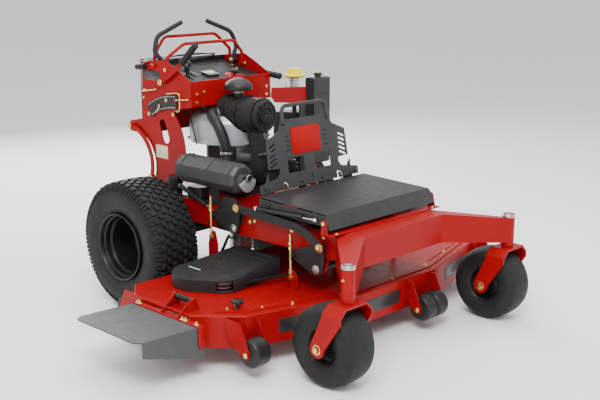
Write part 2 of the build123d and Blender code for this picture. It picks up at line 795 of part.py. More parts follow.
with BuildPart() as cleaner:
    for start, end, radius in (
        (CANISTER_REAR, -250, CANISTER_R), (-250, -262, CANISTER_R + 5), (-262, -355, CANISTER_R),
        (-355, -367, CANISTER_R + 4), (-367, CANISTER_FRONT, CANISTER_R - 6),
    ):
        with BuildSketch(long_plane(start)):
            with Locations(CANISTER):
                Circle(radius)
        extrude(amount=start - end)
    with BuildSketch(long_plane(CANISTER_FRONT)):
        with Locations(CANISTER):
            Circle(34)
    extrude(amount=8)
    # outlet elbow stub towards the hose, inlet stub under the pre-cleaner, bracket to the engine
    with BuildSketch(cross_plane(CANISTER[0] - 60)):
        with Locations((HOSE_Y, CANISTER[1])):
            Circle(20)
    extrude(amount=-34)
    with BuildSketch(Plane.XY.offset(CANISTER[1] + 60)):
        with Locations((CANISTER[0], -205)):
            Circle(24)
    extrude(amount=32)
    with BuildSketch(long_plane(-300)):
        Polygon((-60, 744), (40, 744), (10, 830), (-80, 830), align=None)
    extrude(amount=6)
save(cleaner, "air_cleaner")

PRECLEANER_Z = CANISTER[1] + 92
with BuildPart() as precleaner:
    with Locations((CANISTER[0], -205, PRECLEANER_Z)):
        Cylinder(17, 26, align=(Align.CENTER, Align.CENTER, Align.MIN))
    with Locations((CANISTER[0], -205, PRECLEANER_Z + 22)):
        Cylinder(60, 55, align=(Align.CENTER, Align.CENTER, Align.MIN))
    chamfer(precleaner.edges().group_by(Axis.Z)[-1], 30, 44)
save(precleaner, "precleaner")

with BuildPart() as hose:
    elbow = [
        (CANISTER[0] - 94.2, HOSE_Y, CANISTER[1]), (-208, HOSE_Y, CANISTER[1]), (-218, -215, 800),
        (-196, -238, 722), (-125.2, -238, 722),
    ]
    with BuildLine() as centre_line:
        FilletPolyline(*elbow, radius=(44, 50, 34))
    with BuildSketch(Plane(origin=elbow[0], z_dir=(-1, 0, 0))):
        Circle(21)
    sweep(path=centre_line.line)
save(hose, "intake_hose")

MUFFLER = (-303, 655)
MUFFLER_R = 62
MUFFLER_REAR = -112
MUFFLER_FRONT = -512
with BuildPart() as muffler:
    with BuildSketch(long_plane(MUFFLER_REAR)):
        with Locations(MUFFLER):
            RegularPolygon(MUFFLER_R / cos(pi / 8), 8, rotation=22.5)
    extrude(amount=MUFFLER_REAR - MUFFLER_FRONT)
    chamfer(muffler.faces().sort_by(Axis.Y)[0].edges(), 12)
    chamfer(muffler.faces().sort_by(Axis.Y)[-1].edges(), 12)
    # outlet pipe turned towards the front and down, and the inlet pipe from the engine
    with BuildSketch(long_plane(MUFFLER_FRONT)):
        with Locations((MUFFLER[0] + 10, MUFFLER[1] + 6)):
            Circle(17)
            Circle(14, mode=Mode.SUBTRACT)
    extrude(amount=36)
    with BuildSketch(long_plane(MUFFLER_FRONT)):
        with Locations((MUFFLER[0] + 4, MUFFLER[1] - 14)):
            Circle(40)
            with Locations((6, 20)):
                Circle(19, mode=Mode.SUBTRACT)
    extrude(amount=22, taper=14)
    with BuildSketch(cross_plane(MUFFLER[0] + 50)):
        with Locations((-200, 640)):
            Circle(15)
    extrude(amount=75)
    with BuildSketch(cross_plane(-(RAIL_OUT - 20))):
        with Locations((-300, ENGINE_PLATE_TOP + 45)):
            Rectangle(60, 90)
    extrude(amount=5)
save(muffler, "muffler")

# Engine guard: a leaning plate with windows and louvred wings, a skirt and a tube hoop on top
GUARD_FOOT = (0, -650, 600)
GUARD_LEAN = atan2(50, 307)


def guard_plane(raise_by=0):
    """The guard's own plane, leaning back: its own x is X and its own y runs up the plate."""
    foot = Vector(*GUARD_FOOT) + Vector(0, -cos(GUARD_LEAN), sin(GUARD_LEAN)) * raise_by
    return Plane(origin=foot, x_dir=(1, 0, 0), z_dir=(0, -cos(GUARD_LEAN), sin(GUARD_LEAN)))


with BuildPart() as guard:
    with BuildSketch(guard_plane()):
        for side in SIDES.values():
            Polygon(
                (0, 10), (side * 318, 10), (side * 318, 46), (side * 205, 64), (side * 190, 84),
                (side * 190, 104), (side * 258, 108), (side * 252, 232), (side * 170, 266),
                (side * 152, 312), (0, 312), align=None,
            )
            with Locations((side * 85, 108)):
                RectangleRounded(104, 68, 6, mode=Mode.SUBTRACT)
            with Locations(*((side * 223, 122 + 21 * step) for step in range(5))):
                SlotOverall(46, 9, rotation=-side * 24, mode=Mode.SUBTRACT)
            with Locations((side * 176, 26)):
                SlotOverall(34, 10, rotation=90, mode=Mode.SUBTRACT)
    extrude(amount=-4)
    hoop_path = [
        (-143, -2 - 650 + 50 * 0.95, 600 + 307 * 0.95), (-140, -588, 968), (140, -588, 968),
        (143, -2 - 650 + 50 * 0.95, 600 + 307 * 0.95),
    ]
    with BuildLine() as centre_line:
        FilletPolyline(*hoop_path, radius=34)
    with BuildSketch(Plane(origin=hoop_path[0], z_dir=Vector(*hoop_path[1]) - Vector(*hoop_path[0]))):
        Circle(9)
    sweep(path=centre_line.line)
    # legs down to the engine plate, behind the hood's rear edge
    for side in SIDES.values():
        with BuildSketch(cross_plane(side * 262)):
            Polygon(
                (-655, 614), (-655, 606), (-636, ENGINE_PLATE_TOP), (-560, ENGINE_PLATE_TOP),
                (-590, 570), (-636, 690), (-644, 640), align=None,
            )
        extrude(amount=side * 5)
        with BuildSketch(Plane.XY.offset(ENGINE_PLATE_TOP)):
            with Locations((side * 250, -598)):
                Rectangle(34, 76)
        extrude(amount=4)
save(guard, "engine_guard")

with BuildPart() as tank:
    with BuildSketch(cross_plane(272)):
        Polygon(
            (-400, TANK_TOP), (-342, TANK_TOP), (-342, 870), (-120, 850), (-120, TANK_BOTTOM),
            (-400, TANK_BOTTOM), align=None,
        )
    extrude(amount=112)
    fillet(tank.edges().filter_by(Axis.X), 10)
    with BuildSketch(Plane.XY.offset(TANK_TOP)):
        with Locations((328, -371)):
            Circle(14)
    extrude(amount=8)
save(tank, "fuel_tank")

with BuildPart() as fuel_cap:
    with BuildSketch(Plane.XY.offset(TANK_TOP + 8 + GAP)):
        with Locations((328, -371)):
            Circle(19)
    extrude(amount=14)
    fillet(fuel_cap.edges().group_by(Axis.Z)[-1], 4)
save(fuel_cap, "fuel_cap")

FILLER = (200, -338)
with BuildPart() as filler:
    for low, high, radius in ((925, 985, 20), (985, 1003, 24), (1003, 1046, 19), (1046, 1052, 26)):
        with BuildSketch(Plane.XY.offset(low)):
            with Locations(FILLER):
                Circle(radius)
        extrude(amount=high - low)
    with BuildSketch(long_plane(-366)):
        with Locations((FILLER[0], 960)):
            Rectangle(56, 40)
    extrude(amount=-14)
save(filler, "hydraulic_filler_neck")

with BuildPart() as filler_cap:
    with BuildSketch(Plane.XY.offset(1052 + GAP)):
        with Locations(FILLER):
            Circle(44)
    extrude(amount=12)
    with BuildSketch(Plane.XY.offset(1052 + GAP + 12)):
        with Locations(FILLER):
            Circle(31)
    extrude(amount=26)
    fillet(filler_cap.edges().group_by(Axis.Z)[-1], 5)
save(filler_cap, "hydraulic_filler_cap")

# Hydrostatic pumps between the rails, hanging from the engine plate
with BuildPart() as pumps:
    for side in SIDES.values():
        with BuildSketch(Plane.XY.offset(RAIL_TOP - 118)):
            with Locations((side * 110, 30)):
                RectangleRounded(120, 120, 16)
        extrude(amount=118)
        with BuildSketch(long_plane(90)):
            with Locations((side * 110, RAIL_TOP - 60)):
                Circle(26)
        extrude(amount=-8)
save(pumps, "hydro_pumps")

# ---------------------------------------------------------------- deck
def deck_outline(inset):
    """Plan outline of the deck, drawn in by inset."""
    right = RIGHT_WALL + inset
    left = LEFT_WALL - inset
    front = DECK_FRONT + inset
    rear = DECK_REAR - inset
    cut = 0.6 * inset
    return [
        (right, rear - 112 + cut), (right + 88 + cut, rear), (left - 88 - cut, rear), (left, rear - 112 + cut),
        (left, SIDE_FRONT + cut / 2), (left - 148 - cut / 2, CORNER_Y + inset), (DECK_X + 250, front),
        (DECK_X - 250, front), (right + 148 + cut / 2, CORNER_Y + inset), (right, SIDE_FRONT + cut / 2),
    ]


SPINDLES = {
    "right": (DECK_X - SPINDLE_X, OUTER_SPINDLE_Y),
    "centre": (DECK_X, CENTRE_SPINDLE_Y),
    "left": (DECK_X + SPINDLE_X, OUTER_SPINDLE_Y),
}
ROLLERS = {
    "front_right": (RIGHT_WALL + 136, DECK_FRONT + 84, 84),
    "front_left": (LEFT_WALL - 140, DECK_FRONT + 84, 84),
    "front_centre": (DECK_X + 125, DECK_FRONT - 68, 152),
    "rear_right": (RIGHT_WALL + 110, DECK_REAR + 68, 70),
}
ROLLER_Z = 107
ROD_FEET = [(side * ROD_X, shaft[0] + LIFT_ARM[0] - 3, foot) for side in SIDES.values() for shaft, foot in (
    (FRONT_SHAFT, 290), (REAR_SHAFT, 368),
)]
with BuildPart() as deck:
    with BuildSketch(Plane.XY.offset(DECK_LIP)):
        Polygon(*deck_outline(0), align=None)
    extrude(amount=DECK_TOP - DECK_LIP)
    chamfer(deck.faces().sort_by(Axis.Z)[-1].edges(), 5)
    with BuildSketch(Plane.XY.offset(DECK_LIP - 10)):
        Polygon(*deck_outline(DECK_SHEET), align=None)
    extrude(amount=DECK_TOP - DECK_SHEET - DECK_LIP + 10, mode=Mode.SUBTRACT)
    # discharge opening
    with BuildSketch(cross_plane(RIGHT_WALL - 10)):
        with Locations(((CHUTE_FRONT + CHUTE_REAR) / 2 + 48, (DECK_LIP + DECK_TOP) / 2 - 14)):
            Rectangle(CHUTE_REAR - CHUTE_FRONT - 96, DECK_TOP - DECK_LIP)
    extrude(amount=40, mode=Mode.SUBTRACT)
    for spot in SPINDLES.values():
        with BuildSketch(Plane.XY.offset(DECK_TOP - 20)):
            with Locations(spot):
                Circle(46)
        extrude(amount=40, mode=Mode.SUBTRACT)
    # stiffening rib along the front edge of the top
    with BuildSketch(Plane.XY.offset(DECK_TOP)):
        Polygon(*deck_outline(26), align=None)
        Polygon(*deck_outline(44), align=None, mode=Mode.SUBTRACT)
        with Locations((DECK_X, -560)):
            Rectangle(3000, 560, mode=Mode.SUBTRACT)
    extrude(amount=5)
    # roller brackets: two cheeks each, with the roller's pin between them
    for x, y, width in ROLLERS.values():
        rear = y > DECK_REAR
        back = DECK_REAR - 26 if rear else (y + 118 if abs(x - DECK_X) > 400 else DECK_FRONT + 2)
        for end in (-1, 1):
            with BuildSketch(cross_plane(x + end * (width / 2 + 3))):
                if rear:
                    Polygon(
                        (back, 205), (back, 130), (y + 16, ROLLER_Z - 20), (y + 20, ROLLER_Z + 10),
                        (y - 20, 205), align=None,
                    )
                else:
                    Polygon(
                        (back, 228), (back, 150), (y + 30, ROLLER_Z - 6), (y + 8, ROLLER_Z - 22),
                        (y - 14, ROLLER_Z - 14), (y - 18, ROLLER_Z + 12), (y + 34, 228), align=None,
                    )
            extrude(amount=end * 5)
        with BuildSketch(cross_plane(x)):
            with Locations((y, ROLLER_Z)):
                Circle(ROLLER_PIN_R)
        extrude(amount=width / 2 + 12, both=True)
    # lift brackets that the adjusting rods are bolted to
    for x, y, z in ROD_FEET:
        side = 1 if x > 0 else -1
        with BuildSketch(cross_plane(side * (ROD_X - 11))):
            Polygon(
                (y - 17, DECK_TOP), (y + 8, DECK_TOP), (y + 8, BELT_Z + 24), (y + 15, z), (y + 15, z + 16),
                (y - 15, z + 16), align=None,
            )
            with Locations((y, z)):
                Circle(ROD_R + RUN, mode=Mode.SUBTRACT)
        extrude(amount=side * 6)
    # hinge ears and pin of the deflector
    for y in HINGE_EARS:
        with BuildSketch(Plane.XZ.offset(-y + 3)):
            Polygon((RIGHT_WALL + 3, DECK_TOP - 3), (RIGHT_WALL + 78, DECK_TOP - 3), (HINGE_X + 12, HINGE_Z + 8),
                    (HINGE_X - 12, HINGE_Z + 8), align=None)
            with Locations((HINGE_X, HINGE_Z)):
                Circle(14)
        extrude(amount=-6)
    with BuildSketch(Plane.XZ.offset(-HINGE_EARS[0] - 2)):
        with Locations((HINGE_X, HINGE_Z)):
            Circle(HINGE_PIN_R)
    extrude(amount=HINGE_EARS[0] - HINGE_EARS[1] + 4)
save(deck, "deck_shell")

for name, (x, y, width) in ROLLERS.items():
    wheels = (-width / 4, width / 4) if name == "front_centre" else (0,)
    wheel_width = width / len(wheels) - (4 if len(wheels) > 1 else 0)
    with BuildPart() as roller:
        for shift in wheels:
            with BuildSketch(long_plane(y)) as section:
                with Locations((x + shift, ROLLER_Z + (ROLLER_R + ROLLER_PIN_R + RUN) / 2)):
                    Rectangle(wheel_width, ROLLER_R - ROLLER_PIN_R - RUN)
                fillet(section.vertices().group_by(Axis.Y)[-1], 16)
            revolve(axis=across(y, ROLLER_Z))
    save(roller, f"scalp_roller_{name}")


# ---------------------------------------------------------------- spindles, blades, belt and covers
def straight_up(spot, radius, low, high, mode=Mode.ADD):
    """Add or cut a round bar that stands at spot, from low to high."""
    with Locations((*spot, low)):
        Cylinder(radius, high - low, align=(Align.CENTER, Align.CENTER, Align.MIN), mode=mode)


BLADE_Z = DECK_LIP + 20
HOUSING_LOW = BLADE_Z + 22
with BuildPart() as housings:
    for spot in SPINDLES.values():
        straight_up(spot, 45, HOUSING_LOW, DECK_TOP + 6)
        straight_up(spot, 64, DECK_TOP, DECK_TOP + 6)
        straight_up(spot, SPINDLE_SHAFT_R + RUN, HOUSING_LOW - 5, DECK_TOP + 10, Mode.SUBTRACT)
save(housings, "spindle_housings")

for name, spot in SPINDLES.items():
    with BuildPart() as spindle:
        straight_up(spot, SPINDLE_SHAFT_R, BLADE_Z - 8, BELT_Z + 18)
        straight_up(spot, 22, BLADE_Z - 14, BLADE_Z)
        straight_up(spot, 28, BLADE_Z, HOUSING_LOW - 1)
        straight_up(spot, PULLEY_R, BELT_Z - BELT_H / 2 - 6, BELT_Z - BELT_H / 2 - 2)
        straight_up(spot, GROOVE_R, BELT_Z - BELT_H / 2 - 6, BELT_Z + BELT_H / 2 + 6)
        straight_up(spot, PULLEY_R, BELT_Z + BELT_H / 2 + 2, BELT_Z + BELT_H / 2 + 6)
        with BuildSketch(Plane.XY.offset(BLADE_Z)):
            with Locations(spot):
                Rectangle(BLADE, 63)
                Circle(BLADE / 2, mode=Mode.INTERSECT)
        extrude(amount=6)
        # upturned sail behind each cutting edge
        for end in (-1, 1):
            tip = (spot[0] + end * (BLADE / 2 - 62), spot[1] + end * 26)
            with BuildSketch(Plane.XY.offset(BLADE_Z + 5)):
                with Locations(tip):
                    Rectangle(90, 6)
            extrude(amount=18)
    save(spindle, f"cutter_spindle_{name}")


def belt_loop(grow):
    """Add to the active sketch the loop around the spindle pulleys and the drum, grown outwards."""
    with Locations(*SPINDLES.values()):
        Circle(GROOVE_R + 0.5 + grow)
    with Locations((0, CRANK_Y)):
        Circle(DRUM_R + 0.5 + grow)
    make_hull()


with BuildPart() as belt:
    with BuildSketch(Plane.XY.offset(BELT_Z - BELT_H / 2)):
        belt_loop(BELT_W)
    extrude(amount=BELT_H)
    with BuildSketch(Plane.XY.offset(BELT_Z - BELT_H / 2)):
        belt_loop(0)
    extrude(amount=BELT_H, mode=Mode.SUBTRACT)
save(belt, "deck_belt")

with BuildPart() as drum:
    straight_up((0, CRANK_Y), DRUM_R, BELT_Z - 50, BELT_Z + 40)
    straight_up((0, CRANK_Y), 66, BELT_Z + 44, BELT_Z + 120)
    straight_up((0, CRANK_Y), 14, BELT_Z, ENGINE_PLATE_TOP + 50)
save(drum, "engine_pulley")


def belt_cover(side, inset):
    """A cover's closed outer shape, or with an inset the space inside it."""
    spindle_x = DECK_X + side * SPINDLE_X
    nose_x = spindle_x + side * 8
    inner = side * 238
    low = DECK_TOP + 1 - (5 if inset else 0)
    with BuildPart() as shape:
        with BuildSketch(Plane.XY.offset(low)):
            with Locations((nose_x, OUTER_SPINDLE_Y + COVER_SETBACK)):
                Circle(COVER_R - inset)
            with Locations((spindle_x, OUTER_SPINDLE_Y)):
                Circle(PULLEY_R + 10 - inset)
            with Locations((inner + side * 40, -430 - inset), (inner + side * 20, -660 + inset)):
                Circle(24 - inset)
            make_hull()
        extrude(amount=110)
        with BuildSketch(long_plane(0)):
            Polygon(
                (nose_x + side * (COVER_R + 10), low - 10), (nose_x + side * (COVER_R + 10), 286 - inset),
                (nose_x - side * 60, 294 - inset), (inner - side * 20, 326 - inset),
                (inner - side * 20, low - 10), align=None,
            )
        extrude(amount=1500, mode=Mode.INTERSECT)
    return shape


with BuildPart() as covers:
    for side in SIDES.values():
        add(belt_cover(side, 0).part)
        add(belt_cover(side, 4).part, mode=Mode.SUBTRACT)
    with BuildSketch(Plane.XY.offset(BELT_Z - BELT_H / 2 - 20)):
        belt_loop(BELT_W + 8)
    extrude(amount=BELT_H + 30, mode=Mode.SUBTRACT)
save(covers, "belt_covers")

# Adjusting rods: an eye and bolt on the deck bracket, a threaded rod and its nuts above the lift arm
with BuildPart() as rods:
    for x, y, z in ROD_FEET:
        side = 1 if x > 0 else -1
        top = z + 190
        straight_up((x, y), ROD_R, z, top)
        with BuildSketch(cross_plane(x - side * 4.5)):
            with Locations((y, z)):
                Circle(12)
        extrude(amount=side * 9)
        with BuildSketch(cross_plane(side * (ROD_X - 16))):
            with Locations((y, z)):
                Circle(ROD_R)
        extrude(amount=side * 22)
        for low, radius in ((z + 20, 9), (z + 122, 10), (z + 142, 9)):
            with BuildSketch(Plane.XY.offset(low)):
                with Locations((x, y)):
                    RegularPolygon(radius, 6)
            extrude(amount=12)
save(rods, "lift_adjusting_rods")

# ---------------------------------------------------------------- deflector and its hinge bracket
with BuildPart() as deflector:
    outline = [
        (RIGHT_WALL - 6, CHUTE_REAR), (DEFLECTOR_TIP + 30, CHUTE_REAR + 26), (DEFLECTOR_TIP, CHUTE_REAR + 4),
        (DEFLECTOR_TIP, CHUTE_FRONT + 60), (DEFLECTOR_TIP + 26, CHUTE_FRONT + 30), (RIGHT_WALL - 6, CHUTE_FRONT),
    ]
    with BuildSketch(Plane.XY.offset(DEFLECTOR_Z)):
        Polygon(*outline, align=None)
    extrude(amount=-DEFLECTOR_SHEET)
    front_edge = [outline[-1], outline[-2], (outline[-2][0], outline[-2][1] + 6), (outline[-1][0], outline[-1][1] + 6)]
    with BuildSketch(Plane.XY.offset(DEFLECTOR_Z)):
        Polygon(*front_edge, align=None)
    extrude(amount=-140)
    with BuildSketch(Plane.XZ.offset(-CHUTE_FRONT + 20)):
        Polygon(
            (RIGHT_WALL, DEFLECTOR_Z - 134), (DEFLECTOR_TIP + 60, DEFLECTOR_Z - 74),
            (DEFLECTOR_TIP - 20, DEFLECTOR_Z - 50), (DEFLECTOR_TIP - 20, DEFLECTOR_Z - 160),
            (RIGHT_WALL, DEFLECTOR_Z - 160), align=None,
        )
    extrude(amount=-90, mode=Mode.SUBTRACT)
save(deflector, "discharge_deflector")

with BuildPart() as hinge:
    with BuildSketch(Plane.XY.offset(DEFLECTOR_Z)):
        with Locations((RIGHT_WALL - 22, (CHUTE_REAR + CHUTE_FRONT) / 2)):
            Rectangle(30, CHUTE_REAR - CHUTE_FRONT)
    extrude(amount=4)
    for y, step in ((HINGE_EARS[0] - 6, -1), (HINGE_EARS[1] + 6, 1)):
        with BuildSketch(Plane.XZ.offset(-y)):
            Polygon(
                (RIGHT_WALL - 36, DEFLECTOR_Z + 4), (RIGHT_WALL - 8, DEFLECTOR_Z + 4),
                (RIGHT_WALL - 8, DECK_TOP + 6), (HINGE_X - 4, DECK_TOP + 14), (HINGE_X + 8, HINGE_Z - 8),
                (HINGE_X - 6, HINGE_Z + 12), align=None,
            )
            with Locations((HINGE_X, HINGE_Z)):
                Circle(14)
                Circle(HINGE_PIN_R + RUN, mode=Mode.SUBTRACT)
        extrude(amount=5 if step < 0 else -5)
save(hinge, "deflector_bracket")

# ---------------------------------------------------------------- deck lift
for name, shaft in (("front", FRONT_SHAFT), ("rear", REAR_SHAFT)):
    arm_tip = (shaft[0] + LIFT_ARM[0], shaft[1] + LIFT_ARM[1])
    link_tip = (shaft[0] + LINK_ARM[0], shaft[1] + LINK_ARM[1])
    with BuildPart() as lift_shaft:
        with BuildSketch(cross_plane(0)):
            with Locations(shaft):
                Circle(LIFT_SHAFT_R)
        extrude(amount=CRANK_OUT, both=True)
        for side in SIDES.values():
            with BuildSketch(cross_plane(side * CRANK_IN)):
                with Locations(shaft):
                    Circle(28)
                with Locations(arm_tip):
                    Circle(18)
                with Locations(link_tip):
                    Circle(17)
                make_hull()
            extrude(amount=side * (CRANK_OUT - CRANK_IN))
            with BuildSketch(cross_plane(side * CRANK_OUT)):
                with Locations(arm_tip):
                    Circle(12)
            extrude(amount=side * (ROD_X - ROD_R - 1.5 - CRANK_OUT))
            with BuildSketch(cross_plane(side * CRANK_OUT)):
                with Locations(link_tip):
                    Circle(LINK_PIN_R)
            extrude(amount=side * (LINK_OUT + 5 - CRANK_OUT))
    save(lift_shaft, f"{name}_lift_shaft")

link_start = (REAR_SHAFT[0] + LINK_ARM[0], REAR_SHAFT[1] + LINK_ARM[1])
link_end = (FRONT_SHAFT[0] + LINK_ARM[0], FRONT_SHAFT[1] + LINK_ARM[1])
with BuildPart() as links:
    for side in SIDES.values():
        with BuildSketch(cross_plane(side * LINK_IN)):
            with BuildLine() as curve:
                FilletPolyline(link_start, (-905, 512), link_end, radius=240)
            trace(curve.line, line_width=36)
            with Locations(link_start, link_end):
                Circle(18)
                Circle(LINK_PIN_R + RUN, mode=Mode.SUBTRACT)
        extrude(amount=side * (LINK_OUT - LINK_IN))
save(links, "lift_links")

# ---------------------------------------------------------------- operator platform
hinge_y, hinge_z = PLATFORM_HINGE
with BuildPart() as platform:
    with BuildSketch(Plane.XY.offset(hinge_z - 30)):
        with Locations((0, (hinge_y + 16 + PLATFORM_END) / 2)):
            RectangleRounded(2 * PLATFORM_HALF, PLATFORM_END - hinge_y - 16, 24)
    extrude(amount=34)
    with BuildSketch(Plane.XY.offset(hinge_z - 24)):
        with Locations((0, (hinge_y + 16 + PLATFORM_END) / 2)):
            RectangleRounded(2 * PLATFORM_HALF - 12, PLATFORM_END - hinge_y - 28, 18)
    extrude(amount=40, mode=Mode.SUBTRACT)
    for side in SIDES.values():
        with BuildSketch(cross_plane(side * (BRACKET_X - 28))):
            Polygon(
                (hinge_y - 6, hinge_z - 12), (hinge_y + 26, hinge_z - 28), (hinge_y + 40, hinge_z - 26),
                (hinge_y + 30, hinge_z + 2), (hinge_y, hinge_z + 13), align=None,
            )
            with Locations(PLATFORM_HINGE):
                Circle(15)
                Circle(8 + RUN, mode=Mode.SUBTRACT)
        extrude(amount=side * 20)
save(platform, "operator_platform")

# ---------------------------------------------------------------- fasteners
with BuildPart() as bolts:
    for spots, plane in (
        ([(-222, 985), (-178, 992), (222, 985), (-222, 945), (222, 945)], long_plane(PANEL_Y)),
    ):
        with BuildSketch(plane):
            with Locations(*spots):
                RegularPolygon(8, 6)
        extrude(amount=6)
    for side in SIDES.values():
        with BuildSketch(cross_plane(side * TOWER_OUT)):
            with Locations((228, 978), (238, 940), (30, 560), (165, 560)):
                RegularPolygon(8, 6)
        extrude(amount=side * 6)
        with BuildSketch(cross_plane(side * (HOOD_HALF - HOOD_SHEET - 6))):
            with Locations(HOOD_HINGE):
                Circle(HOOD_PIN_R)
        extrude(amount=side * (HOOD_SHEET + 6 + 9))
        with BuildSketch(cross_plane(side * (EAR_X + 5))):
            with Locations(HOOD_HINGE):
                RegularPolygon(9, 6)
        extrude(amount=side * 6)
save(bolts, "frame_bolts")
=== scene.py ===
"""Looks of the stand-on zero-turn mower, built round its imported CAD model.

Places are given in millimetres from the ground below the middle of the drive axle, which the record's
joints fix: x to the machine's left, y to its rear and z up. at() turns them into the row frame.
"""

import json
import random
from math import atan2, cos, pi, radians, sin

import bmesh
import bpy
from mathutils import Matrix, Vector


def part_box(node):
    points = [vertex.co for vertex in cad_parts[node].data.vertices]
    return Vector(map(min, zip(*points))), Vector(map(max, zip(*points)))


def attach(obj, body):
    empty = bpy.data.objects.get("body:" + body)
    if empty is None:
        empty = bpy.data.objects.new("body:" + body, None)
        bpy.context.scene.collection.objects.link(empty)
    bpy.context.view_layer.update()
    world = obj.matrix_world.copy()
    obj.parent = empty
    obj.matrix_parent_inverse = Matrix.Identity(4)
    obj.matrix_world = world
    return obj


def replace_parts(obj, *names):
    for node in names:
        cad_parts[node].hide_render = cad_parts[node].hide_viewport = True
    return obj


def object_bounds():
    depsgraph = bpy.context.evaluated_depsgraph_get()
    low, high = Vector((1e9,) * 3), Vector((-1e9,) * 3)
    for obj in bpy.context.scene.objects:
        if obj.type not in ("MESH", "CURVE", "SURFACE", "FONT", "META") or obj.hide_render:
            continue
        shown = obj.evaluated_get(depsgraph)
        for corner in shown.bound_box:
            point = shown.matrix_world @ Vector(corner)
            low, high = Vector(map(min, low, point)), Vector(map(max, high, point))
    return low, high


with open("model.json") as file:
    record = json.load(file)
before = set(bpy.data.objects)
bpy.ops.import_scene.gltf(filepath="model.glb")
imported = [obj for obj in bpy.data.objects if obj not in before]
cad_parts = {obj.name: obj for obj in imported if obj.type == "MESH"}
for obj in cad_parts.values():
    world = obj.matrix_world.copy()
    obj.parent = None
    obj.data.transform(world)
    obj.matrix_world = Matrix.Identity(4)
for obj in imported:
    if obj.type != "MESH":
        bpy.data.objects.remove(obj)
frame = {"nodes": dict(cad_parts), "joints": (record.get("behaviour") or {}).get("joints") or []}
cad_low, cad_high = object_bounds()
joints = {joint["name"]: joint for joint in frame["joints"]}
chance = random.Random(7)

LEFT_AXLE = Vector(joints["drive_left_roll"]["pos_m"])
RIGHT_AXLE = Vector(joints["drive_right_roll"]["pos_m"])
ORIGIN = Vector(((LEFT_AXLE.x + RIGHT_AXLE.x) / 2, LEFT_AXLE.y, 0))
MM = 0.001
X, Y, Z = Vector((1, 0, 0)), Vector((0, 1, 0)), Vector((0, 0, 1))
SIDES = {"right": -1, "left": 1}


def at(x, y, z):
    """The row-frame place of a point given in millimetres from the drive axle."""
    return ORIGIN + Vector((x, y, z)) * MM


def local(point):
    """The place of a row-frame point in millimetres from the drive axle."""
    return (Vector(point) - ORIGIN) / MM


def joint_at(name):
    return local(joints[name]["pos_m"])


def node_box(name):
    low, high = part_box(name)
    return local(low), local(high)


# ---- camera, floor and light
CAMERA_FROM_AXLE = Vector((-3238.1, -3727.0, 1609.6))
CAMERA_TURN = 0.7982
CAMERA_TILT = -0.2368
FOCAL_LENGTH = 60.72

camera = bpy.data.objects.new("camera", bpy.data.cameras.new("camera"))
bpy.context.scene.collection.objects.link(camera)
camera.location = at(*CAMERA_FROM_AXLE)
look = Vector((
    cos(CAMERA_TILT) * sin(CAMERA_TURN), cos(CAMERA_TILT) * cos(CAMERA_TURN), sin(CAMERA_TILT),
))
camera.rotation_euler = look.to_track_quat("-Z", "Y").to_euler()
camera.data.sensor_width = 36
camera.data.lens = FOCAL_LENGTH
camera.data.clip_end = 100
bpy.context.scene.camera = camera


def link(name, data):
    made = bpy.data.objects.new(name, data)
    bpy.context.scene.collection.objects.link(made)
    return made


def area_light(name, place, target, size, power):
    lamp = bpy.data.lights.new(name, "AREA")
    lamp.shape = "RECTANGLE"
    lamp.size, lamp.size_y = size
    lamp.energy = power
    holder = link(name, lamp)
    holder.location = at(*place)
    holder.rotation_euler = (at(*target) - holder.location).to_track_quat("-Z", "Y").to_euler()


MIDDLE = (0, -500, 500)
area_light("key_light", (-2600, -2900, 3900), MIDDLE, (2.2, 1.8), 230)
area_light("top_light", (300, -300, 4300), MIDDLE, (3.6, 3.0), 110)
area_light("fill_light", (3600, -3000, 2200), MIDDLE, (2.4, 2.6), 40)
area_light("back_light", (1500, 3600, 2500), MIDDLE, (3.6, 2.0), 230)

world = bpy.data.worlds.new("studio")
bpy.context.scene.world = world
world.use_nodes = True
world.node_tree.nodes["Background"].inputs["Color"].default_value = (1, 1, 1, 1)
world.node_tree.nodes["Background"].inputs["Strength"].default_value = 1.0

FLOOR_HALF = 60
floor_mesh = bpy.data.meshes.new("floor")
floor_mesh.from_pydata(
    [(-FLOOR_HALF, -FLOOR_HALF, 0), (FLOOR_HALF, -FLOOR_HALF, 0), (FLOOR_HALF, FLOOR_HALF, 0),
     (-FLOOR_HALF, FLOOR_HALF, 0)],
    [], [(0, 1, 2, 3)],
)
floor = link("floor", floor_mesh)
floor.location.z = cad_low.z - 0.0005

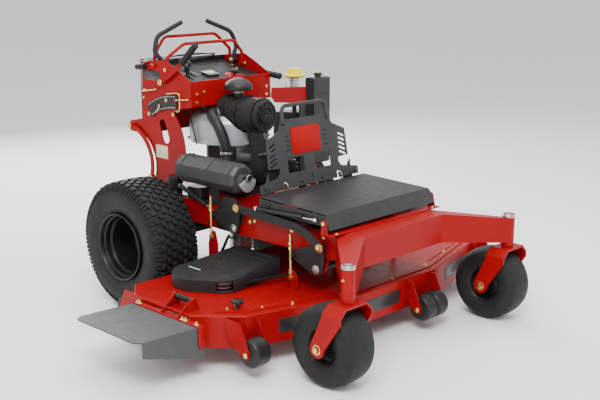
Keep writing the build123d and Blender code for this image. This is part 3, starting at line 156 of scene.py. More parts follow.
# ---- materials
def surface(
    name, color, rough, metallic=0.0, coat=0.0, mottle=0.12, mottle_size=9.0, grain=(0.0, 700),
    edge_wear_and_highlight=None, dust=0.0, specular=0.5, sheen=0.0, stretch=(1, 1, 1),
):
    """A procedural finish: mottled colour, uneven gloss, a grain as bump, edges lightened partly as wear and
    partly as a painted highlight, and settled dust.

    grain is its depth in millimetres and its size.
    """
    material = bpy.data.materials.new(name)
    material.use_nodes = True
    tree = material.node_tree
    shader = tree.nodes["Principled BSDF"]
    shader.inputs["Metallic"].default_value = metallic
    shader.inputs["Coat Weight"].default_value = coat
    shader.inputs["Coat Roughness"].default_value = 0.08
    shader.inputs["Specular IOR Level"].default_value = specular
    shader.inputs["Sheen Weight"].default_value = sheen
    place = tree.nodes.new("ShaderNodeTexCoord").outputs["Object"]
    scale = tree.nodes.new("ShaderNodeMapping")
    scale.inputs["Scale"].default_value = stretch
    tree.links.new(place, scale.inputs["Vector"])

    def noise(size, detail):
        made = tree.nodes.new("ShaderNodeTexNoise")
        made.inputs["Scale"].default_value = size
        made.inputs["Detail"].default_value = detail
        tree.links.new(scale.outputs["Vector"], made.inputs["Vector"])
        return made.outputs["Fac"]

    def spread(value, low, high, from_low=0.3, from_high=0.7):
        made = tree.nodes.new("ShaderNodeMapRange")
        made.inputs["From Min"].default_value = from_low
        made.inputs["From Max"].default_value = from_high
        made.inputs["To Min"].default_value = low
        made.inputs["To Max"].default_value = high
        tree.links.new(value, made.inputs["Value"])
        return made.outputs["Result"]

    def blend(factor, first, second):
        made = tree.nodes.new("ShaderNodeMix")
        made.data_type = "RGBA"
        tree.links.new(factor, made.inputs["Factor"])
        for socket, value in (("A", first), ("B", second)):
            target = [s for s in made.inputs if s.name == socket and s.type == "RGBA"][0]
            if isinstance(value, bpy.types.NodeSocket):
                tree.links.new(value, target)
            else:
                target.default_value = (*value, 1)
        return [s for s in made.outputs if s.type == "RGBA"][0]

    cloud = noise(mottle_size, 5)
    grain_depth, grain_size = grain
    fine = noise(grain_size, 3)
    dark = tuple(part * (1 - mottle) for part in color)
    light = tuple(min(1, part * (1 + mottle) + 0.01 * mottle) for part in color)
    painted = blend(spread(cloud, 0, 1), dark, light)
    if dust:
        up = tree.nodes.new("ShaderNodeSeparateXYZ")
        tree.links.new(tree.nodes.new("ShaderNodeNewGeometry").outputs["Normal"], up.inputs[0])
        amount = tree.nodes.new("ShaderNodeMath")
        amount.operation = "MULTIPLY"
        tree.links.new(spread(up.outputs["Z"], 0, dust, 0.5, 1), amount.inputs[0])
        tree.links.new(spread(noise(26, 6), 0, 1, 0.45, 0.75), amount.inputs[1])
        painted = blend(amount.outputs[0], painted, (0.42, 0.38, 0.32))
    round_edge = tree.nodes.new("ShaderNodeBevel")
    round_edge.samples = 3
    round_edge.inputs["Radius"].default_value = 0.0016
    # Edges get a lighter colour of the same paint: partly real wear, partly a painted edge highlight.
    if edge_wear_and_highlight:
        flat = tree.nodes.new("ShaderNodeVectorMath")
        flat.operation = "DOT_PRODUCT"
        tree.links.new(round_edge.outputs["Normal"], flat.inputs[0])
        tree.links.new(tree.nodes.new("ShaderNodeNewGeometry").outputs["Normal"], flat.inputs[1])
        worn_and_lit_edge = tree.nodes.new("ShaderNodeMath")
        worn_and_lit_edge.operation = "MULTIPLY"
        tree.links.new(spread(flat.outputs["Value"], 0.55, 0, 0.90, 0.995), worn_and_lit_edge.inputs[0])
        tree.links.new(spread(noise(42, 5), 0, 1, 0.42, 0.6), worn_and_lit_edge.inputs[1])
        painted = blend(worn_and_lit_edge.outputs[0], painted, edge_wear_and_highlight)
    tree.links.new(painted, shader.inputs["Base Color"])
    gloss = spread(noise(mottle_size * 3, 4), max(0.03, rough - 0.05), min(1, rough + 0.07))
    tree.links.new(gloss, shader.inputs["Roughness"])
    bump = tree.nodes.new("ShaderNodeBump")
    bump.inputs["Strength"].default_value = 0.6
    bump.inputs["Distance"].default_value = 0.0001 + grain_depth * MM
    tree.links.new(fine, bump.inputs["Height"])
    tree.links.new(round_edge.outputs["Normal"], bump.inputs["Normal"])
    tree.links.new(bump.outputs["Normal"], shader.inputs["Normal"])
    return material


# The edge colours below are lighter tones of each paint: worn edges and a painted edge highlight.
M = {
    "red": surface("red_paint", (0.29, 0.0, 0.0012), 0.36, coat=0.06, mottle=0.05, grain=(0.03, 160),
                   edge_wear_and_highlight=(0.45, 0.03, 0.03), dust=0.008, specular=0.14),
    "black": surface("black_coat", (0.011, 0.011, 0.012), 0.50, mottle=0.10, grain=(0.12, 520),
                     edge_wear_and_highlight=(0.07, 0.07, 0.072), dust=0.015, specular=0.4),
    "guard": surface("guard_coat", (0.026, 0.0265, 0.028), 0.55, mottle=0.10, grain=(0.12, 480),
                     edge_wear_and_highlight=(0.10, 0.10, 0.105), dust=0.015, specular=0.35),
    "rim": surface("rim_paint", (0.007, 0.007, 0.008), 0.36, grain=(0.03, 700), dust=0.02, specular=0.3),
    "engine": surface("engine_paint", (0.010, 0.010, 0.011), 0.42, mottle=0.2, grain=(0.16, 260),
                      edge_wear_and_highlight=(0.08, 0.08, 0.085), dust=0.03, specular=0.4),
    "silver": surface("shroud_silver", (0.42, 0.43, 0.44), 0.36, metallic=0.5, mottle=0.08,
                      grain=(0.10, 420), dust=0.05),
    "plastic": surface("black_plastic", (0.010, 0.0102, 0.011), 0.46, mottle=0.10, grain=(0.20, 900),
                       dust=0.02, specular=0.4),
    "tray": surface("tray_plastic", (0.008, 0.008, 0.0085), 0.62, grain=(0.24, 900), dust=0.01,
                    specular=0.2),
    "cover": surface("cover_plastic", (0.015, 0.0155, 0.017), 0.50, mottle=0.10, grain=(0.26, 760),
                     dust=0.02, specular=0.4),
    "yellow": surface("yellow_plastic", (0.78, 0.60, 0.0), 0.40, specular=0.2, mottle=0.06,
                      grain=(0.06, 600)),
    "tyre": surface("tyre_rubber", (0.0085, 0.0085, 0.009), 0.66, mottle=0.2, mottle_size=14,
                    grain=(0.22, 420), dust=0.03, specular=0.3),
    "roller": surface("roller_rubber", (0.009, 0.009, 0.010), 0.46, mottle=0.2, grain=(0.14, 500),
                      dust=0.03, specular=0.35),
    "flap": surface("deflector_rubber", (0.055, 0.056, 0.058), 0.58, mottle=0.08, grain=(0.20, 620),
                    dust=0.02, specular=0.4),
    "grip": surface("grip_rubber", (0.008, 0.008, 0.009), 0.60, specular=0.35, mottle=0.15,
                    grain=(0.24, 900)),
    "vinyl": surface("cushion_vinyl", (0.009, 0.009, 0.010), 0.46, grain=(0.34, 320), sheen=0.15),
    "zinc": surface("yellow_zinc", (0.80, 0.56, 0.20), 0.28, metallic=1.0, mottle=0.25, mottle_size=60,
                    grain=(0.05, 700)),
    "steel": surface("bare_steel", (0.50, 0.50, 0.51), 0.34, metallic=1.0, mottle=0.18, mottle_size=40,
                     grain=(0.08, 700), stretch=(1, 1, 6)),
    "chrome": surface("chrome", (0.78, 0.78, 0.79), 0.12, metallic=1.0, mottle=0.10, mottle_size=30),
    "cast": surface("cast_iron", (0.045, 0.045, 0.048), 0.6, metallic=0.4, mottle=0.2, grain=(0.5, 180),
                    dust=0.03),
    "hot": surface("muffler_coat", (0.030, 0.030, 0.032), 0.46, grain=(0.10, 380),
                   edge_wear_and_highlight=(0.10, 0.10, 0.105), dust=0.015, specular=0.45),
    "badge": surface("badge_red", (0.34, 0.0, 0.001), 0.42, specular=0.08, mottle=0.05, grain=(0.01, 700)),
    "white": surface("white_print", (0.80, 0.80, 0.78), 0.45, mottle=0.05, grain=(0.02, 700)),
    "cream": surface("cream_plate", (0.66, 0.60, 0.38), 0.44, mottle=0.10, grain=(0.05, 300)),
    "glass": surface("display_glass", (0.020, 0.022, 0.024), 0.22, coat=0.1, mottle=0.3, mottle_size=40,
                     specular=0.3),
    "decal": surface("decal_grey", (0.016, 0.0165, 0.018), 0.36, coat=0.1, grain=(0.02, 700)),
    # Near-black for holes and slots: painted shade standing in for their shadowed insides.
    "hole_shade": surface("painted_hole_shade", (0.004, 0.004, 0.004), 0.9, mottle=0.3, grain=(0.1, 700)),
    "floor": surface("studio_floor", (0.93, 0.93, 0.93), 0.85, mottle=0.01, mottle_size=0.6, specular=0.1),
}
floor_mesh.materials.append(M["floor"])


def pair(name):
    return [f"{name}_right", f"{name}_left"]


NODE_FINISH = {
    "red": ["main_frame", "front_beam", "tower_shell", "shin_guard_bars", "console_hoops", "deck_shell",
            *pair("caster_fork"), "deflector_bracket", "height_lever", "parking_brake_lever"],
    "black": ["hood", "height_quadrant", "front_lift_shaft", "rear_lift_shaft", "lift_links",
              "operator_platform"],
    "guard": ["engine_guard"],
    "hot": ["muffler"],
    "rim": [*pair("drive_rim"), *pair("caster_hub")],
    "engine": ["engine_block"],
    "silver": ["blower_housing", "hydraulic_filler_neck"],
    "tray": ["console_tray"],
    "plastic": ["air_cleaner", "precleaner", "battery", "fuel_cap", "throttle_lever", "choke_lever",
                "pto_knob"],
    "cover": ["fuel_tank", "belt_covers"],
    "yellow": ["hydraulic_filler_cap"],
    "tyre": [*pair("drive_tyre"), *pair("caster_tyre")],
    "roller": [*pair("scalp_roller_front"), "scalp_roller_front_centre", "scalp_roller_rear_right",
               "intake_hose", "deck_belt"],
    "flap": ["discharge_deflector"],
    "grip": pair("steering_lever"),
    "vinyl": ["thigh_cushion"],
    "zinc": ["frame_bolts", "lift_adjusting_rods"],
    "steel": ["engine_pulley", *pair("cutter_spindle"), "cutter_spindle_centre"],
    "cast": ["spindle_housings", "hydro_pumps", "wheel_motors"],
}
for finish, names in NODE_FINISH.items():
    for name in names:
        slots = frame["nodes"][name].data.materials
        slots.clear()
        slots.append(M[finish])


# ---- mesh tools
def across(axis):
    """Two unit vectors square to the axis and to each other."""
    axis = Vector(axis).normalized()
    first = axis.orthogonal().normalized() if abs(axis.z) < 0.9 else X
    first = (first - axis * first.dot(axis)).normalized()
    return first, axis.cross(first)


def around(count, u=X, v=Y, start=0.0):
    """Evenly spaced vectors that turn from u towards v, start being a share of the first step."""
    for number in range(count):
        angle = 2 * pi * (number + start) / count
        yield u * cos(angle) + v * sin(angle)


class Shape:
    """Closed solids of one finish that ride on one body, gathered into one mesh. Sizes are millimetres."""

    def __init__(self):
        self.bm = bmesh.new()

    def skin(self, rings, closed=False):
        """Join rings of equally many points, and close both ends unless the last ring meets the first."""
        rows = [[self.bm.verts.new(at(*point)) for point in ring] for ring in rings]
        pairs = list(zip(rows, rows[1:]))
        if closed:
            pairs.append((rows[-1], rows[0]))
        else:
            self.bm.faces.new(rows[0])
            self.bm.faces.new(rows[-1])
        for first, second in pairs:
            for here in range(len(first)):
                there = (here + 1) % len(first)
                self.bm.faces.new((first[here], first[there], second[there], second[here]))

    def lathe(self, centre, axis, profile, steps=40, closed=False, start=0.0):
        """Turn a profile of (along, radius) points about the axis through centre."""
        centre, axis = Vector(centre), Vector(axis).normalized()
        u, v = across(axis)
        rings = []
        for along, radius in profile:
            ring = []
            for step in range(steps):
                angle = start + 2 * pi * step / steps
                ring.append(centre + axis * along + (u * cos(angle) + v * sin(angle)) * radius)
            rings.append(ring)
        self.skin(rings, closed)

    def collar(self, place, axis, inner, outer, width, steps):
        """A square-edged ring that reaches width along the axis from place."""
        self.lathe(place, axis, [(0, inner), (0, outer), (width, outer), (width, inner)], steps, closed=True)

    def fluted(self, centre, rows, lobes, steps):
        """Join upright rings of (z, radius, swell) about a centre, whose radius swells in lobes."""
        rings = []
        for z, radius, swell in rows:
            ring = []
            for step in range(steps):
                angle = 2 * pi * step / steps
                reach = radius + swell * cos(lobes * angle)
                ring.append((centre[0] + reach * cos(angle), centre[1] + reach * sin(angle), z))
            rings.append(ring)
        self.skin(rings)

    def prism(self, outline, origin, u, v, depth):
        """Raise an outline of (u, v) points, set out from origin, by depth along u x v."""
        origin, u, v = Vector(origin), Vector(u).normalized(), Vector(v).normalized()
        out = u.cross(v)
        foot = [origin + u * a + v * b for a, b in outline]
        self.skin([foot, [point + out * depth for point in foot]])

    def box(self, centre, size, axes=(X, Y, Z)):
        centre = Vector(centre)
        half = [Vector(axis).normalized() * length / 2 for axis, length in zip(axes, size)]
        ring = ((-1, -1), (1, -1), (1, 1), (-1, 1))
        self.skin([[centre + half[0] * a + half[1] * b + half[2] * c for a, b in ring] for c in (-1, 1)])

    def tube(self, points, radius, steps=14):
        """A round bar along a smooth line through points."""
        path = smooth(points)
        side = across(path[1] - path[0])[0]
        rings = []
        for index, point in enumerate(path):
            before, after = path[max(0, index - 1)], path[min(len(path) - 1, index + 1)]
            way = (after - before).normalized()
            side = (side - way * side.dot(way)).normalized()
            other = way.cross(side)
            rings.append([
                point + (side * cos(2 * pi * s / steps) + other * sin(2 * pi * s / steps)) * radius
                for s in range(steps)
            ])
        self.skin(rings)

    def bolt(self, place, out, radius=8.0, stud=0.0):
        """A flange bolt head with its washer, or a nut with the stud's end standing out of it."""
        place, out = Vector(place), Vector(out).normalized()
        height = radius * 0.8
        self.lathe(place, out, [(0, radius * 1.5), (1.6, radius * 1.5), (2.0, radius * 1.4)], 20)
        twist = chance.random()
        self.lathe(
            place, out,
            [(0.5, radius * 0.96), (1.0, radius), (height - 0.6, radius), (height, radius * 0.86)], 6,
            start=twist,
        )
        if stud:
            self.lathe(place, out, [(0, radius * 0.5), (stud - 1, radius * 0.5), (stud, radius * 0.38)], 14)

    def piece(self, name, finish, body="chassis", edge=0.0, angle=32):
        """Make the collected solids a piece that rides on body, with rounded edges if edge is given."""
        bmesh.ops.recalc_face_normals(self.bm, faces=self.bm.faces)
        mesh = bpy.data.meshes.new(name)
        self.bm.to_mesh(mesh)
        self.bm.free()
        made = link(name, mesh)
        mesh.materials.append(M[finish])
        if edge:
            rounding = made.modifiers.new("rounding", "BEVEL")
            rounding.width = edge * MM
            rounding.segments = 2
            rounding.limit_method = "ANGLE"
            rounding.angle_limit = radians(angle)
        apply_modifiers(made)
        made.data.shade_smooth()
        made.data.set_sharp_from_angle(angle=radians(angle))
        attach(made, body)
        return made


def apply_modifiers(thing):
    """Bake the modifiers into the mesh."""
    if thing.modifiers:
        graph = bpy.context.evaluated_depsgraph_get()
        graph.update()
        result = bpy.data.meshes.new_from_object(thing.evaluated_get(graph))
        thing.modifiers.clear()
        thing.data = result


SMOOTH_STEPS = 8


def smooth(points):
    """Points of a Catmull-Rom line through the given ones."""
    points = [Vector(point) for point in points]
    if len(points) == 2:
        return points
    ends = [2 * points[0] - points[1], *points, 2 * points[-1] - points[-2]]
    line = []
    for a, b, c, d in zip(ends, ends[1:], ends[2:], ends[3:]):
        bend = 2 * a - 5 * b + 4 * c - d
        twist = 3 * b - a - 3 * c + d
        for step in range(SMOOTH_STEPS):
            t = step / SMOOTH_STEPS
            line.append(0.5 * (2 * b + (c - a) * t + bend * t * t + twist * t ** 3))
    return [*line, points[-1]]


def rounded(width, height, radius, steps=5):
    """Outline of a rectangle with round corners about (0, 0)."""
    outline = []
    for turn, (a, b) in enumerate(((1, 1), (-1, 1), (-1, -1), (1, -1))):
        for step in range(steps + 1):
            angle = pi / 2 * (turn + step / steps)
            outline.append((
                a * (width / 2 - radius) + radius * cos(angle),
                b * (height / 2 - radius) + radius * sin(angle),
            ))
    return outline


# ---- drive wheels
def mirrored(half):
    """A closed profile made of half a profile and its mirror image."""
    return [*half, *[(-along, radius) for along, radius in reversed(half) if along]]


TREAD_R = 295.5
LUG_ROWS = 7
LUGS_ROUND = 44


def crown(along):
    """How far the tread has fallen from its middle at a place across it."""
    return 5.5 * (along / 100) ** 2


def add_lug(shape, centre, along, turn, outline, low, high):
    """One tread block: its outline is (across, round) about its place on the tyre."""
    def point(a, arc, radius):
        angle = turn + arc / TREAD_R
        return centre + X * (along + a) + (Y * cos(angle) + Z * sin(angle)) * radius
    shape.skin([
        [point(a, arc, low) for a, arc in outline],
        [point(a * 0.93, arc * 0.93, high - 1.6 - crown(along + a)) for a, arc in outline],
        [point(a * 0.84, arc * 0.84, high - crown(along + a)) for a, arc in outline],
    ])


for name, side in SIDES.items():
    body = f"drive_wheel_{name}"
    hub = joint_at(f"drive_{name}_roll")
    tyre = Shape()
    tyre.lathe(hub, X, mirrored([
        (0, 150), (84, 150), (96, 154), (108, 158), (112, 164), (113, 171), (117, 178), (118, 182),
        (121, 200), (123.5, 222), (123.5, 240), (121, 256), (116, 268), (111, 277), (103, 284),
        (92, 288.5), (60, 291), (0, 293),
    ]), steps=96, closed=True)
    block = [(-13, -9), (-2, -16), (3, -16), (14, -8), (14, 6), (4, 13), (-3, 13), (-13, 6)]
    for row in range(LUG_ROWS):
        along = (row - (LUG_ROWS - 1) / 2) * 29.5
        slant = 0.32 if row % 2 else -0.32
        shaped = [(a, arc + slant * a) for a, arc in block]
        for number in range(LUGS_ROUND):
            turn = 2 * pi * (number + 0.5 * (row % 2)) / LUGS_ROUND
            add_lug(tyre, hub, along, turn, shaped, 286, 303.2)
    for end in (-1, 1):
        for number in range(2 * LUGS_ROUND):
            turn = pi * (number + 0.25) / LUGS_ROUND
            width = 6.2 if number % 2 else 5.0
            reach = 262 if number % 2 else 270
            rings = []
            for along, radius in ((104, 293), (113.5, 283), (119.5, 270), (121.2, reach)):
                ring = []
                for a, b in ((-1, 0), (1, 0), (1, 1), (-1, 1)):
                    angle = turn + a * width / radius
                    depth = radius - 7 * (1 - b) if along < 113 else radius
                    out = along - 4 * (1 - b)
                    ring.append(hub + X * end * out + (Y * cos(angle) + Z * sin(angle)) * depth)
                rings.append(ring)
            tyre.skin(rings)
    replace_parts(tyre.piece(f"turf_tyre_{name}", "tyre", body, angle=28), f"drive_tyre_{name}")

    rim = Shape()
    rim.lathe(hub, X * side, [
        (-124, 146), (-124, 156), (-120, 158), (-116, 152), (116, 151.8), (120, 158), (124, 157.5),
        (126, 152), (120, 147), (104, 145), (98, 138), (74, 136), (66, 128), (20, 126), (6, 121),
        (-46, 117), (-56, 108),
        (-60, 92), (-59, 48), (-52, 46), (-44, 44), (-42, 22), (-47, 20), (-66, 20), (-66, 112), (-70, 128),
        (-110, 144),
    ], steps=72, closed=True)
    rim.piece(f"dished_rim_{name}", "rim", body, edge=0.8, angle=40)
    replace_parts(bpy.data.objects[f"dished_rim_{name}"], f"drive_rim_{name}")
    nuts = Shape()
    for way in around(5, Y, Z):
        nuts.bolt(hub + X * side * -59 + way * 66, X * side, 10.5, stud=15)
    nuts.lathe(hub - X * side * 50, X * side, [(0, 19), (10, 19), (12, 16)], 24)
    nuts.piece(f"wheel_nuts_{name}", "steel", body, edge=0.5)
    valve = Shape()
    valve.tube([hub + X * side * out + Z * up for out, up in ((40, 122), (66, 112), (78, 108))], 4.2)
    valve.piece(f"valve_stem_{name}", "grip", body)

# ---- casters
for name, side in SIDES.items():
    hub = joint_at(f"caster_{name}_roll")
    body = f"caster_wheel_{name}"
    tyre = Shape()
    tyre.lathe(hub, X, mirrored([
        (0, 73), (52, 73), (60, 76), (68, 80), (71, 85), (74, 91), (78, 103), (80, 116), (79.5, 128),
        (76, 140), (70, 149), (61.5, 155.5), (60, 155.4), (58.5, 157), (44, 160.5), (24, 162.4), (0, 163),
    ]), steps=80, closed=True)
    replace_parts(tyre.piece(f"smooth_tyre_{name}", "tyre", body, angle=24), f"caster_tyre_{name}")
    wheel = Shape()
    wheel.lathe(hub, X, mirrored([
        (0, 9.7), (82, 9.7), (83, 22), (60, 24), (40, 28), (26, 40), (22, 54), (30, 64), (58, 69), (66, 76),
        (69, 80), (67, 83), (61, 78), (48, 74.5), (0, 74),
    ]), steps=64, closed=True)
    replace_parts(wheel.piece(f"caster_rim_{name}", "rim", body, edge=0.6, angle=40), f"caster_hub_{name}")

    steer = joint_at(f"caster_{name}_swivel")
    axle = Shape()
    for end in (-1, 1):
        axle.bolt(hub + X * end * 94.6, X * end, 14, stud=13 if end > 0 else 0)
    axle.piece(f"axle_bolt_{name}", "zinc", f"caster_{name}", edge=0.5)
    cap = Shape()
    cap.lathe((steer.x, steer.y, 480), Z, [(0, 29), (6, 29), (9, 27.5), (14, 26), (15.2, 12), (15.4, 4)], 40)
    cap.piece(f"caster_cap_{name}", "steel", edge=0.5)
    fitting = Shape()
    fitting.lathe((steer.x - 29, steer.y - 3, 440), -X, [(0, 6), (3, 6), (3, 3.4), (9, 3), (11, 2)], 12)
    fitting.lathe((steer.x, steer.y, 342), Z, [(0, 24), (3.6, 24), (3.6, 20)], 32)
    fitting.piece(f"caster_fitting_{name}", "zinc", edge=0.3)

# ---- engine
CRANK = Vector((0, -170, 622))
CANISTER = Vector((-40, 0, 890))
SHROUD = (0, -92)
HOSE_FOOT = (-181, -270, 752)
PRECLEANER_Y = -205
FILLER = (200, -338)
FUEL_CAP = (328, -371)

for name, side in SIDES.items():
    reach = Vector((side, -1, 0)).normalized()
    wide = Vector((side, 1, 0)).normalized()
    rocker = Shape()
    rocker.prism(rounded(98, 90, 16), CRANK + reach * 238.5, wide, Z, side * 20)
    rocker.prism(rounded(74, 62, 14), CRANK + reach * 258.5, wide, Z, side * 6)
    rocker.piece(f"rocker_cover_{name}", "plastic", edge=4)
    nuts = Shape()
    for a, b in ((-42, -36), (42, -36), (-42, 36), (42, 36)):
        nuts.bolt(CRANK + reach * 258.7 + wide * a + Z * b, reach, 5)
    nuts.piece(f"rocker_cover_bolts_{name}", "steel", edge=0.3)
    cowl = Shape()
    start, width = -60, 70 if side < 0 else 120
    outline = [(64, 688), (64, 726), (92, 742), (188, 742), (226, 722), (236, 688), (228, 688), (216, 716),
               (184, 732), (94, 732), (72, 720), (72, 688)]
    cowl.prism(outline, Vector((0, -170, 0)) + wide * start, reach, Z,
               -width * side)
    cowl.piece(f"cylinder_cowl_{name}", "engine", edge=2)

screen = Shape()
screen.lathe((12, -38, 884.4), Z, [(0, 70), (5, 70), (8, 66), (8, 60), (3, 58), (3, 4)], 56)
for ring in (20, 32, 44, 55):
    screen.collar((12, -38, 887.5), Z, ring - 2, ring + 2, 3.4, 48)
for way in around(10):
    screen.box(Vector((12, -38, 889.6)) + way * 32, (54, 4, 3.6), (way, Z.cross(way), Z))
screen.piece("intake_screen", "plastic", edge=0.6)
tabs = Shape()
tab_bolts = Shape()
for way in around(9, start=0.4):
    spot = Vector((*SHROUD, 752)) + way * 196
    if (spot - Vector(HOSE_FOOT)).length > 70:
        tabs.box(spot, (14, 30, 9), (way, Z.cross(way), Z))
        tab_bolts.bolt(spot + Z * 4.7 + way * 1.5, Z, 4.6)
tabs.piece("shroud_tabs", "silver", edge=2)
tab_bolts.piece("shroud_bolts", "steel", edge=0.3)
for name, turn in (("right", pi * 1.02), ("rear", pi * 0.72), ("left", pi * 0.30)):
    panel = Shape()
    for rib in range(4):
        angle = turn + rib * 0.085
        way = Vector((cos(angle), sin(angle), 0))
        panel.box(Vector((*SHROUD, 795)) + way * 190.4, (3.4, 7, 56), (way, Z.cross(way), Z))
    panel.piece(f"shroud_ribs_{name}", "silver", edge=1)

canister = Shape()
for y, radius in ((-143, 80), (-160, 80), (-183, 80), (-196, 80), (-340, 80)):
    canister.lathe(CANISTER + Y * y, -Y, [(0, radius + 0.2), (1, radius + 3.2), (6, radius + 3.2),
                                          (7, radius + 0.2)], 64)
canister.lathe(CANISTER - Y * 385.2, -Y, [(0, 62), (0, 71), (4, 69), (4, 64)], 56, closed=True)
canister.lathe(CANISTER - Y * 385.2, -Y, [(0, 40), (0, 44), (5, 43.4), (5, 40.6)], 48, closed=True)
for way in around(12, X, Z):
    canister.box(CANISTER - Y * 394.4 + way * 20, (26, 2.8, 5.2), (way, Y, Y.cross(way)))
    canister.box(CANISTER - Y * 387.4 + way * 52, (20, 3.8, 3), (way, Y, Y.cross(way)))
canister.lathe(CANISTER - Y * 393.2, -Y, [(0, 7), (4, 7), (5, 5)], 20)
for way in around(26, X, Z):
    canister.box(CANISTER - Y * 190 + way * 82.4, (3.4, 12, 7), (way, Y, Y.cross(way)))
canister.piece("canister_rings", "plastic", edge=0.6)
clips = Shape()
for angle in (0.3, 1.2, 2.8, 4.4):
    way = Vector((cos(angle), 0, sin(angle)))
    clips.box(CANISTER - Y * 256 + way * 87, (3.6, 34, 16), (way, Y, Y.cross(way)))
    clips.box(CANISTER - Y * 240 + way * 90, (3, 8, 20), (way, Y, Y.cross(way)))
clips.piece("canister_clips", "plastic", edge=1)

mushroom = Shape()
mushroom.lathe((CANISTER.x, PRECLEANER_Y, 0), Z, [
    (1004, 19), (1005, 42), (999, 58), (1000, 64), (1005, 67), (1015, 67.5), (1021, 66), (1030, 60),
    (1040, 47), (1048, 31), (1053, 15), (1054, 4),
], 64)
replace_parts(mushroom.piece("mushroom_precleaner", "plastic", angle=40), "precleaner")
neck = Shape()
neck.lathe((CANISTER.x, PRECLEANER_Y, 0), Z, [
    (982.2, 20), (984, 24.6), (989, 24.6), (990, 20), (993, 18.6), (1000, 18.6), (1001, 20), (1003.8, 20),
], 40)
neck.piece("precleaner_neck", "silver")

hose = Shape()
hose.tube([(-134.2, -160, 890), (-166, -164, 896), (-190, -190, 884), (-194, -232, 846), (-187, -260, 788),
           (-181, -270, 744), (-180, -270, 714)], 25, steps=28)
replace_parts(hose.piece("air_intake_hose", "roller"), "intake_hose")
stub = Shape()
stub.lathe((-180, -270, 686.5), Z, [(0, 30), (8, 30), (10, 23), (27, 22)], 32)
stub.piece("intake_stub", "engine", edge=1)
clamps = Shape()
for place, axis in (((-180, -270, 722), Z), ((-146, -161, 891), X)):
    clamps.collar(Vector(place) - axis * 7, axis, 25.4, 27.4, 14, 36)
    clamps.box(Vector(place) + Vector((0, -30, 0)), (9, 9, 8))
clamps.piece("hose_clamps", "steel", edge=0.5)

crescent = Shape()
SHIELD_X, SHIELD_Z = -297, 645
OUTLET_X, OUTLET_Z = -293, 661
outer = [(SHIELD_X + 46 * cos(a), SHIELD_Z + 46 * sin(a)) for a in map(radians, range(188, 377, 12))]
inner = [(OUTLET_X + 19 * cos(a), OUTLET_Z + 19 * sin(a)) for a in map(radians, range(362, 189, -12))]
crescent.skin([
    [(SHIELD_X + (x - SHIELD_X) * grow, y, SHIELD_Z + (z - SHIELD_Z) * grow) for x, z in [*outer, *inner]]
    for y, grow in ((-526, 0.86), (-543, 1.0))
])
crescent.piece("outlet_shield", "silver", edge=0.8)
lip = Shape()
lip.lathe((OUTLET_X, -547, OUTLET_Z), -Y, [(0, 14.4), (0, 17.6), (3, 17.0), (3, 14.4)], 36, closed=True)
lip.piece("outlet_lip", "chrome", edge=0.5)
# A near-black disc set inside the outlet: painted shade for the inside of the pipe.
dark = Shape()
dark.lathe((OUTLET_X, -544, OUTLET_Z), -Y, [(0, 13.6), (1.5, 13.6), (1.6, 12)], 30)
dark.piece("outlet_shade_disc", "hole_shade")
bands = Shape()
band_corner = 64.6 / cos(pi / 8)
for y in (-150, -330, -470):
    corners = [Vector((-303, y, 655)) + way * band_corner for way in around(8, X, Z, start=0.5)]
    bands.skin([corners, [corner - Y * 12 for corner in corners]])
bands.piece("muffler_bands", "hot", edge=1)

lines = {
    "crankcase_breather": ([(-96, -398, 716), (-60, -440, 722), (-4, -462, 700), (40, -430, 660)],
                           12, "plastic"),
    "filler_suction_hose": ([(200, -338, 924), (202, -330, 820), (200, -268, 690), (186, -150, 560),
                             (180, -100, 508)], 11, "grip"),
    "throttle_cable": ([(-150, 40, 1012), (-170, -60, 980), (-190, -122, 930), (-150, -112, 890)], 3, "grip"),
    "choke_cable": ([(-165, 20, 1005), (-196, -40, 940), (-210, -60, 860), (-205, -90, 742)], 3, "grip"),
    "fuel_line": ([(268, -200, 640), (230, -220, 610), (170, -250, 592), (128, -240, 580)], 4.5, "grip"),
    "rail_harness": ([(-296, -560, 512), (-298, -400, 511), (-300, -200, 512), (-296, 100, 511)], 5, "grip"),
    "pump_hose_right": ([(-110, 96, 440), (-150, 150, 430), (-235, 140, 420), (-262, 60, 400)], 9, "grip"),
    "pump_hose_left": ([(110, 96, 440), (150, 150, 430), (235, 140, 420), (262, 60, 400)], 9, "grip"),
}
for name, (route, radius, finish) in lines.items():
    run = Shape()
    run.tube(route, radius)
    run.piece(name, finish)

# ---- fuel tank, filler and their caps
cap = Shape()
cap.fluted(FILLER, (
    (1052.4, 50, 0), (1055, 52, 0), (1062, 50, 0), (1064.3, 44, 0), (1064.4, 32.4, -1.6), (1087, 30.4, -1.6),
    (1090, 28.4, -1.2),
), 12, 96)
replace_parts(cap.piece("ribbed_filler_cap", "yellow", "filler_cap", edge=0.6), "hydraulic_filler_cap")
gasket = Shape()
gasket.lathe((*FILLER, 1048.4), Z, [(0, 27), (0, 45), (2, 46.5), (3.7, 46), (3.7, 27)], 56, closed=True)
gasket.piece("filler_gasket", "grip", "filler_cap")
bands = Shape()
for z in (936, 948, 960, 1010, 1022, 1034):
    bands.collar((*FILLER, z), Z, 20.3, 21.8, 5, 40)
bands.piece("filler_bands", "chrome", edge=0.4)
bail = Shape()
for lean in (0, 9):
    loop = [Vector((152 - lean, -344 - lean, 1018)) + way for way in around(12, X * 15, Z * 27)]
    bail.tube(loop, 1.6, steps=8)
bail.tube([(150, -346, 992), (172, -342, 986), (181, -338, 990)], 1.8, steps=8)
bail.piece("dipstick_loops", "steel")
